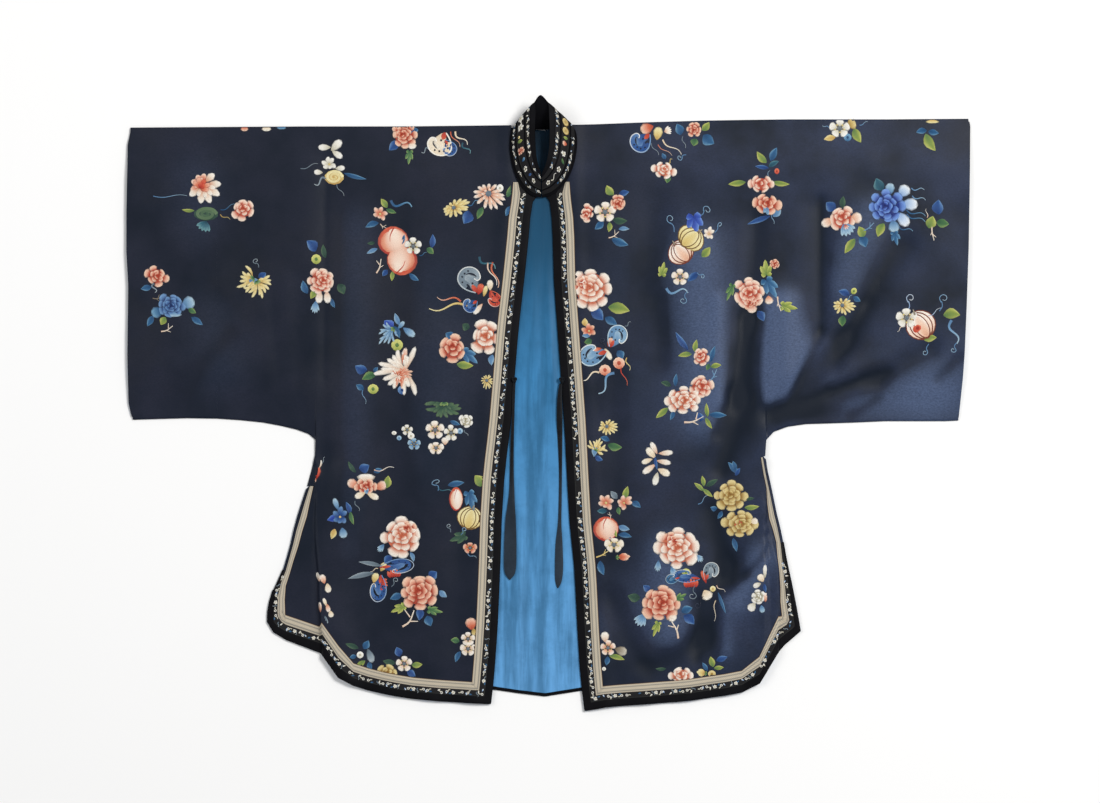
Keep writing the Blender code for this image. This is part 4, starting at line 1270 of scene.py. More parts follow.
def thread_finish(name, pitch):
    """Floss silk laid in satin stitch, dyed by the stitches' own colours."""
    tree, shader = start_finish(name, FLOSS, roughness=0.42, sheen=0.08, specular=0.25)
    dye = add(tree, "ShaderNodeAttribute", attribute_name="Thread").outputs["Color"]
    flat = add(tree, "ShaderNodeUVMap", uv_map="UVMap").outputs["UV"]
    strands = bands(tree, flat, pitch, distortion=0.6)
    deep = blend(tree, 0.55, dye, FLOSS_SHADE)
    colour = blend(tree, spread_range(tree, strands, low=0.0, high=0.55, to_low=0.45), deep, dye)
    tree.links.new(colour, shader.inputs["Base Color"])
    bump(tree, shader, strands, strength=0.6, depth_mm=0.25)


def made_finish(name):
    """A finish made before, by its name."""
    found = bpy.data.materials.get(name)
    if found is None:
        raise RuntimeError(name + " isn't made yet: run the finishes first")
    return found


# Stitching: motifs are worked as patches of satin stitch, in millimetres about their own middle.

def srgb(red, green, blue):
    """A dye as seen on a screen, from 0 to 255, turned into a colour for the shader."""
    parts = [c / 255.0 for c in (red, green, blue)]
    return tuple(c / 12.92 if c <= 0.04045 else ((c + 0.055) / 1.055) ** 2.4 for c in parts)


DYES = {row[0]: [srgb(*row[k:k + 3]) for k in (1, 4, 7)] for row in worded("""
    name heart_r heart_g heart_b middle_r middle_g middle_b edge_r edge_g edge_b
    coral 170 58 34 216 116 82 246 210 184, rose 184 72 48 226 150 118 248 228 210
    blush 196 98 66 236 190 160 250 243 232, pearl 214 150 116 238 222 202 250 246 238
    white 176 168 140 232 228 214 248 246 240, blue 16 44 96 40 84 146 116 156 200
    deep_blue 22 40 112 48 80 176 120 158 220, sky 62 104 150 110 152 188 176 204 220
    yellow 170 118 44 216 184 92 238 222 150, straw 186 140 70 224 200 128 240 230 180
    ochre 150 112 50 196 168 96 226 208 150, cream 216 188 150 238 222 196 248 242 228
    leaf 30 72 56 78 122 72 158 178 108, lime 62 108 66 150 164 74 216 214 126
    teal 18 58 78 40 94 112 112 158 164, azure 18 58 98 44 98 142 124 170 200
    forest 24 52 46 50 84 66 96 122 86, slate 78 92 104 120 136 148 178 190 196
    bark 96 82 66 150 138 118 208 202 186, red 150 38 30 196 66 46 226 116 84
    night 18 22 34 30 36 54 60 70 92, ice 96 136 196 176 200 228 236 242 246
    mauve 150 120 116 196 170 162 232 214 204
""")}
VOID = srgb(24, 28, 40)
# How a petal's widest place lies and how blunt its ends are, for a disc.
ROUND = (1.0, 0.5)
# How far edges of stitching sink under its silk, and how high a line of it stands.
PETAL_SINK = 0.15
STROKE_SINK = 0.12
STROKE_CROWN = 0.65


def tinted(dyes, at):
    """A dye from heart at 0 to edge at 1."""
    first, second, share = (0, 1, at * 2.0) if at < 0.5 else (1, 2, at * 2.0 - 1.0)
    return [lerp(a, b, min(max(share, 0.0), 1.0)) for a, b in zip(dyes[first], dyes[second])]


class Needle:
    """Works one motif: patches of thread laid about a middle, turned and raised."""

    def __init__(self, x, y, turn, seed):
        self.bm = bmesh.new()
        self.flat = self.bm.loops.layers.uv.new("UVMap")
        self.dye = self.bm.verts.layers.float_color.new("Thread")
        self.place = Matrix.Translation((x, y, 0.0)) @ Matrix.Rotation(math.radians(turn - 90.0), 4, "Z")
        self.chance = random.Random(seed)

    def patch(self, steps, across, spot, dye, width, length):
        """A patch whose spot(s, t) gives x, y and height, and dye(s, t) its colour."""
        columns = across + 1
        made = bmesh.ops.create_grid(self.bm, x_segments=across, y_segments=steps, size=0.5)["verts"]
        places = {}
        for n, vert in enumerate(made):
            s = n // columns / steps
            t = 1.0 - 2.0 * (n % columns) / across
            x, y, height = spot(s, t)
            flat = self.place @ Vector((x, y, 0.0))
            vert.co = (flat.x, flat.y, height)
            vert[self.dye] = (*dye(s, t), 1.0)
            places[vert] = (t * width * MM / 2.0, s * length * MM)
        for face in faces_round(made):
            for loop in face.loops:
                loop[self.flat].uv = places[loop.vert]

    def petal(self, start, end, width, dyes, lean=1.0, blunt=0.7, bend=0.0, lift=0.0, notch=0.0,
              steps=5, across=4, crown=0.75, rib=0.0, tones=(0.0, 1.0), split=0.0, rim=0.25, void=0.0,
              line=VOID):
        """A petal or leaf from start to end; lean moves its widest place towards the end.

        Its tones run from root to tip, its rim is paler by a share, and void is how much of the
        outline's colour shows round it.
        """
        dx, dy = end[0] - start[0], end[1] - start[1]
        length = math.hypot(dx, dy) or 1.0
        side_x, side_y = -dy / length, dx / length

        def spot(s, t):
            s = smooth(s)
            half = 0.5 * width * math.sin(math.pi * s ** lean) ** blunt if 0.0 < s < 1.0 else 0.0
            out = bend * (4.0 * s * (1.0 - s)) + t * half
            along = s - notch * (1.0 - t * t) * s ** 5
            height = crown * (1.0 - t * t) * min(1.0, 6.0 * s * (1.0 - s)) - PETAL_SINK
            height -= rib * (1.0 - abs(t)) ** 2 * 4.0 * s * (1.0 - s)
            x = start[0] + dx * along + side_x * out
            return x, start[1] + dy * along + side_y * out, height + lift

        def dye(s, t):
            s = smooth(s)
            at = lerp(tones[0], tones[1], s) + rim * t * t * lerp(0.3, 1.0, s) + split * t
            colour = tinted(dyes, min(max(at, 0.0), 1.0))
            if void and (abs(t) > 0.95 or s > 0.98):
                colour = [lerp(a, b, void) for a, b in zip(colour, line)]
            return colour

        self.patch(steps, across, spot, dye, width, length)

    def stroke(self, points, width, dyes, taper=0.4, lift=0.0, tones=(0.3, 0.7), steps=None):
        """A line of stem stitch through points, thinning to a share of its width."""
        steps = steps or 3 * (len(points) - 1)
        line = through(points, steps + 1)
        heading = np.gradient(line, axis=0)
        heading /= np.maximum(np.linalg.norm(heading, axis=1), 1e-6)[:, None]
        length = float(np.linalg.norm(np.diff(line, axis=0), axis=1).sum())

        def spot(s, t):
            n = round(s * steps)
            half = 0.5 * width * lerp(1.0, taper, s)
            x = line[n, 0] - heading[n, 1] * half * t
            height = STROKE_CROWN * (1.0 - t * t) - STROKE_SINK + lift
            return x, line[n, 1] + heading[n, 0] * half * t, height

        self.patch(steps, 2, spot, lambda s, t: tinted(dyes, lerp(*tones, s)), width, length)

    def knot(self, x, y, size, dyes, tone=0.6, lift=0.2):
        """A small raised knot."""
        self.petal(
            (x, y - size / 2.0), (x, y + size / 2.0), size, dyes, *ROUND, lift=lift, steps=4,
            tones=(tone, tone),
        )


def sized(w, h, points):
    """Points given as shares of a motif's width and length."""
    return [(w * x, h * y) for x, y in points]


def whole(w, h):
    """From the foot of a motif to its tip, and its width."""
    return (0.0, -0.5 * h), (0.0, 0.5 * h), w


def polar(radius_x, radius_y, degrees):
    turn = math.radians(degrees)
    return radius_x * math.cos(turn), radius_y * math.sin(turn)


def work_rings(needle, w, h, dyes, rings, heart):
    """Rings of cupped petals on a deep ground, outer ones first, about a heart set off the middle."""
    size = math.sqrt(w * h)
    outline = dimmed(dyes[0], 0.3)
    needle.petal(*whole(0.72 * w, 0.72 * h), [dyes[0]] * 3, *ROUND, lift=-0.3, steps=6)
    for ring, (count, root, reach, width) in enumerate(rings):
        shift = ring / (len(rings) - 1.0)
        off = (heart[0] * w * shift, heart[1] * h * shift)
        for k in range(count):
            turn = 360.0 * (k + 0.5 * ring) / count + needle.chance.uniform(-9.0, 9.0)
            far = 0.5 * reach * needle.chance.uniform(0.84, 1.1)
            start = polar(0.5 * w * root, 0.5 * h * root, turn)
            end = polar(w * far, h * far, turn)
            needle.petal(
                (start[0] + off[0], start[1] + off[1]), (end[0] + off[0], end[1] + off[1]),
                width * size * needle.chance.uniform(0.88, 1.2), dyes, lean=1.5, blunt=0.52,
                lift=0.3 * ring + 0.1 * (k % 2), across=6, tones=(-0.8, 1.6 - 0.1 * ring),
                rim=0.3, void=0.7 - 0.1 * ring, line=VOID if ring == 0 else outline,
            )


def work_peony(needle, w, h, dyes):
    """A full flower seen from above: pale rounded petals about a tight, deep heart."""
    work_rings(needle, w, h, dyes, (
        (8, 0.42, 1.0, 0.31), (7, 0.22, 0.72, 0.25), (5, 0.05, 0.48, 0.21), (3, 0.0, 0.26, 0.14),
    ), (needle.chance.uniform(-0.1, 0.1), needle.chance.uniform(-0.02, 0.1)))


def work_rose(needle, w, h, dyes):
    """A smaller flower: petals cupped round a tilted heart over a wider skirt."""
    work_rings(needle, w, h, dyes, (
        (6, 0.34, 1.0, 0.4), (5, 0.1, 0.64, 0.28), (3, 0.0, 0.36, 0.19),
    ), (needle.chance.uniform(-0.09, 0.09), needle.chance.uniform(0.02, 0.14)))


def work_daisy(needle, w, h, dyes):
    """A flower of narrow petals, longer on one side, about a button set off the middle."""
    middle = (-0.1 * w, 0.1 * h)
    for ring, (count, reach, width) in enumerate(((14, 1.0, 0.12), (9, 0.6, 0.11))):
        for k in range(count):
            turn = 360.0 * (k + 0.5 * ring) / count + needle.chance.uniform(-6.0, 6.0)
            far = 0.5 * reach * needle.chance.uniform(0.85, 1.05)
            x, y = polar(w * far, h * far, turn)
            needle.petal(
                (middle[0] + 0.2 * x, middle[1] + 0.2 * y), (x + 0.3 * middle[0], y + 0.3 * middle[1]),
                width * w, dyes, lean=1.5, blunt=0.55, lift=0.2 * ring, steps=4, void=0.5,
            )
    needle.knot(*middle, 0.24 * min(w, h), DYES["slate"], 0.2, 0.7)


def work_fan(needle, w, h, dyes):
    """A full spray whose foot lies under its other half."""
    work_spray(needle, w, h, dyes, -25.0, 205.0, 14, ())


def work_spray(needle, w, h, dyes, low=-10.0, high=190.0, count=10, cup=(150.0, 90.0, 30.0)):
    """A flower seen from its side: long petals that fan from the foot, with a green cup."""
    foot = (0.0, -0.42 * h)
    for ring, reach in enumerate((1.0, 0.62)):
        for k in range(count - 4 * ring):
            turn = lerp(low, high, (k + 0.5) / (count - 4 * ring)) + needle.chance.uniform(-5.0, 5.0)
            far = reach * needle.chance.uniform(0.78, 1.08)
            x, y = polar(w * 0.5 * far, h * 0.92 * far, turn)
            bend = needle.chance.uniform(-0.07, 0.07) * w
            needle.petal(
                foot, (foot[0] + x, foot[1] + y), 0.12 * w, dyes, lean=1.9, blunt=0.6, bend=bend,
                lift=0.18 * ring, void=0.7,
            )
    for turn in cup:
        x, y = polar(0.14 * w, 0.14 * h, turn)
        tip = (x, y - 0.42 * h)
        needle.petal((0.0, -0.5 * h), tip, 0.1 * w, DYES["leaf"], lift=0.6, steps=3, across=2)


def work_plum(needle, w, h, dyes):
    """Five round petals with fine stamens."""
    for k in range(5):
        turn = 90.0 + 72.0 * k + needle.chance.uniform(-4.0, 4.0)
        start, end = (polar(w * far, h * far, turn) for far in (0.1, 0.5))
        needle.petal(start, end, 0.42 * w, dyes, lean=1.7, blunt=0.5, across=6, tones=(0.1, 1.0), void=0.8)
        tip = polar(w * 0.22, h * 0.22, turn + 36.0)
        needle.stroke([(0.0, 0.0), tip], 0.04 * w, DYES["bark"], lift=0.6, steps=1)
        needle.knot(*tip, 0.08 * w, DYES["yellow"], 0.7, 0.7)
    needle.knot(0.0, 0.0, 0.2 * w, DYES["slate"], 0.2, 0.6)


def work_lily(needle, w, h, dyes):
    """A water lily seen half from its side: pointed petals behind a ball of small ones."""
    heart = (-0.08 * w, 0.04 * h)
    for ring, (turns, reach, width, own) in enumerate((
        ((-112, -74, -36, 2, 40, 80), 1.0, 0.24, dyes), ((118, 150, 190, 226), 0.8, 0.2, DYES["rose"]),
        ((-92, -54, -16, 22), 0.66, 0.18, dyes), ((135, 172, 208), 0.56, 0.17, DYES["rose"]),
    )):
        for turn in turns:
            x, y = polar(w * 0.5 * reach, h * 0.5 * reach, turn + needle.chance.uniform(-5.0, 5.0))
            needle.petal(
                (lerp(heart[0], x, 0.2), lerp(heart[1], y, 0.2)), (x, y), width * min(w, h), own,
                lean=1.4, blunt=0.75, lift=0.16 * ring, across=6, tones=(-0.3, 1.0), void=0.75,
            )
    for n, (turn, reach, name) in enumerate((
        (160, 0.27, "coral"), (20, 0.27, "coral"), (125, 0.34, "coral"), (55, 0.34, "coral"),
        (90, 0.32, "red"), (110, 0.2, "red"), (68, 0.2, "red"),
    )):
        x, y = polar(reach * w, reach * h, turn)
        foot = (heart[0], heart[1] - 0.14 * h)
        needle.petal(
            foot, (foot[0] + x, foot[1] + y), 0.17 * w, DYES[name], lean=1.3, blunt=0.5,
            lift=0.7 + 0.09 * n, steps=4, tones=(0.1, 0.9), void=0.7, line=DYES["red"][0],
        )


def work_petal(needle, w, h, dyes):
    """One rounded petal, pale at its tip."""
    needle.petal(
        *whole(w, h), dyes, lean=1.35, blunt=0.55, notch=0.06, across=6, tones=(0.05, 1.0), void=0.75,
    )


def work_ball(needle, w, h, dyes):
    """A round head of thread about a darker middle."""
    needle.petal(*whole(w, h), dyes, *ROUND, tones=(0.5, 0.95))
    needle.knot(0.0, 0.0, 0.4 * min(w, h), dyes, 0.1, 0.5)


def work_fringe(needle, w, h, dyes):
    """A tuft of thin threads."""
    for k in range(5):
        x, y = polar(0.8 * w, h, lerp(50.0, 130.0, k / 4.0))
        end = (x, y - 0.5 * h)
        needle.petal((0.0, -0.5 * h), end, 0.28 * w, dyes, lean=1.4, blunt=0.7, steps=4, across=2)


def work_snail(needle, w, h, dyes):
    """A disc of thread wound in a spiral."""
    needle.petal(*whole(w, h), dyes, *ROUND, tones=(0.1, 0.3))
    line = [polar(0.43 * w * (1.0 - k / 18.0), 0.43 * h * (1.0 - k / 18.0), 50.0 * k) for k in range(17)]
    needle.stroke(line, 0.14 * w, dyes, taper=0.7, lift=0.6, tones=(0.95, 0.6), steps=48)


def work_teeth(needle, w, h, dyes):
    """A row of small pointed stitches, as on a wing's rim."""
    for k in range(5):
        x = w * (k - 2.0) / 5.0
        top = (0.5 - 0.12 * abs(k - 2.0)) * h
        needle.petal((x * 0.6, -0.5 * h), (x, top), 0.24 * w, dyes, lean=0.8, blunt=0.7, steps=4, across=2)


def work_orchid(needle, w, h, dyes):
    """A loose flower of pointed petals."""
    petals = ((100, 1.0), (48, 0.9), (158, 0.95), (-28, 0.85), (212, 0.8), (-85, 0.6))
    for n, (turn, reach) in enumerate(petals):
        end = polar(w * 0.5 * reach, h * 0.5 * reach, turn + needle.chance.uniform(-8.0, 8.0))
        needle.petal(
            (0.0, 0.0), end, 0.34 * min(w, h), dyes, lean=1.2, blunt=0.65, lift=0.1 * (n % 3),
            bend=0.03 * w, void=0.6,
        )
    needle.knot(0.0, 0.0, 0.14 * w, DYES["ochre"], 0.7, 0.6)


def work_bud(needle, w, h, dyes):
    """A closed bud in its cup."""
    for n, (x, reach) in enumerate(((-0.26, 0.8), (0.26, 0.86), (0.0, 1.0))):
        needle.petal(
            (x * 0.3 * w, -0.3 * h), (x * w, (reach - 0.5) * h), 0.5 * w, dyes, lean=1.1, blunt=0.65,
            lift=0.2 * (n // 2), steps=4,
        )
    for turn in (35.0, 90.0, 145.0):
        x, y = polar(0.3 * w, 0.34 * h, turn)
        tip = (x, y - 0.5 * h)
        needle.petal((0.0, -0.5 * h), tip, 0.18 * w, DYES["leaf"], lift=0.5, steps=3, across=2)


def work_peach(needle, w, h, dyes):
    """A round fruit with a deep rim and a pale cheek, and a cleft from its stalk to its point."""
    needle.petal(*whole(w, h), DYES["red"], *ROUND, steps=8, across=8, tones=(0.3, 0.7), void=0.5)
    needle.petal(
        (0.03 * w, -0.44 * h), (0.03 * w, 0.42 * h), 0.88 * w, dyes, *ROUND, lift=0.3, steps=8, across=8,
        tones=(0.75, 1.1), split=-0.15, rim=-0.8,
    )
    cleft = sized(w, h, ((0.1, 0.44), (-0.06, 0.2), (-0.1, 0.0)))
    needle.stroke(cleft, 0.04 * w, DYES["red"], lift=0.9)


def work_gourd(needle, w, h, dyes):
    """A ribbed fruit: shells that meet at its foot, each on a deep line, with the near rib on top."""
    line = [dimmed(dyes[0], 0.35)] * 3
    for n, share in enumerate((1.0, 0.74, 0.46)):
        for own, grown, lift in ((line, 1.0, 0.0), (dyes, 0.93 - 0.03 * n, 0.1)):
            needle.petal(
                (0.0, -0.5 * h * grown), (0.0, (0.5 - 0.05 * n) * h * grown), share * grown * w, own,
                lift=0.22 * n + lift, blunt=0.5, steps=9, across=8, crown=0.15, tones=(0.35, 0.75), rim=0.5,
            )
    needle.stroke(sized(w, h, ((0.0, 0.38), (0.03, 0.56))), 0.07 * w, DYES["bark"], lift=1.2)


def work_wing(needle, w, h, dyes):
    """A butterfly's wing: a broad blade whose tip scrolls over, with a pale rim and dark eyes."""
    for bend, width, tip in ((-0.16, 0.46, (-0.12, 0.3)), (0.08, 0.3, (0.16, 0.06))):
        needle.petal(
            (0.0, -0.5 * h), (tip[0] * w, tip[1] * h), width * w, dyes, lean=1.4, blunt=0.5, bend=bend * w,
            across=6, tones=(0.1, 0.8), rim=0.35, void=0.5,
        )
    scroll = ((-0.2, -0.12), (-0.3, 0.14), (-0.14, 0.36), (0.14, 0.38), (0.36, 0.22), (0.4, 0.0),
              (0.24, -0.06))
    needle.stroke(
        sized(w, h, scroll), 0.32 * w, dyes, taper=0.35, lift=0.35, tones=(0.3, 0.8), steps=20,
    )
    pale = [dyes[1], dyes[2], DYES["white"][2]]
    edge = ((-0.04, -0.48), (-0.26, -0.28), (-0.42, -0.02), (-0.42, 0.26), (-0.22, 0.46), (0.08, 0.52),
            (0.36, 0.4), (0.5, 0.16), (0.44, -0.08), (0.28, -0.12), (0.2, 0.0))
    needle.stroke(
        sized(w, h, edge), 0.055 * w, pale, taper=0.8, lift=0.5, tones=(0.4, 1.0), steps=28,
    )
    eyes = ((-0.3, 0.1), (-0.2, 0.28), (-0.18, -0.08), (-0.04, 0.34), (0.14, 0.36), (0.04, -0.12))
    for x, y in sized(w, h, eyes):
        needle.knot(x, y, 0.09 * w, DYES["night"], 0.1, 0.75)
    body = sized(w, h, ((0.0, -0.5), (0.0, -0.14)))
    needle.petal(*body, 0.22 * w, DYES["red"], lift=0.5, tones=(0.2, 0.8), void=0.4)


def work_leaf(needle, w, h, dyes):
    """A pointed leaf, deep along its sunk rib and pale at its rim, with one half lighter."""
    needle.petal(
        *whole(0.92 * w, h), dyes, lean=0.85, blunt=0.95,
        bend=needle.chance.uniform(-0.16, 0.16) * w, steps=7, across=6, rib=0.4, tones=(0.1, 0.45),
        split=needle.chance.choice((-0.16, 0.16)), rim=0.75, void=0.3,
    )


def work_maple(needle, w, h, dyes):
    """A leaf of pointed lobes."""
    for turn, reach in ((90, 1.0), (45, 0.85), (135, 0.85), (5, 0.6), (175, 0.6)):
        x, y = polar(0.5 * w * reach, 0.9 * h * reach, turn)
        needle.petal(
            (0.0, -0.4 * h), (x, y - 0.4 * h), 0.32 * w, dyes, lean=1.0, blunt=0.8, steps=4,
            tones=(0.2, 0.7), rib=0.3, split=0.25,
        )


def work_branch(needle, w, h, dyes):
    """A knotty twig with two side shoots."""
    main = sized(w, h, ((-0.1, -0.5), (0.1, -0.1), (0.0, 0.5)))
    needle.stroke(main, max(0.1 * h, 1.4), dyes, taper=0.5)
    for shoot in (((0.08, -0.1), (0.5, 0.12)), ((0.0, 0.1), (-0.5, 0.3))):
        needle.stroke(sized(w, h, shoot), max(0.07 * h, 1.1), dyes, taper=0.5, lift=0.05)


def work_tendril(needle, w, h, dyes):
    """A thin stem that ends in a curl."""
    line = sized(w, h, ((0.0, -0.5), (0.14, -0.2), (-0.05, 0.05)))
    for k in range(7):
        x, y = polar(0.42 * w * (1.0 - 0.11 * k), 0.26 * h * (1.0 - 0.11 * k), 250.0 - 62.0 * k)
        line.append((x + 0.1 * w, y + 0.22 * h))
    needle.stroke(line, 1.5, dyes, taper=0.6, steps=24, tones=(0.2, 1.0))


def work_curl(needle, w, h, dyes):
    """A loose, wavy strand."""
    line = [(0.42 * w * math.sin(0.75 * k), lerp(-0.5 * h, 0.5 * h, k / 8.0)) for k in range(9)]
    needle.stroke(line, max(0.3 * w, 1.5), dyes, taper=0.35, steps=16, tones=(0.2, 1.0))


WORKS = {
    work.__name__.removeprefix("work_"): work for work in (
        work_peony, work_rose, work_daisy, work_spray, work_fan, work_plum, work_lily, work_orchid,
        work_bud, work_peach, work_gourd, work_wing, work_leaf, work_maple, work_branch, work_tendril,
        work_curl, work_petal, work_ball, work_fringe, work_snail, work_teeth,
    )
}


# One row a motif, in squares of the chart: its middle, its width and length, the way its tip
# points in degrees, and its dye.

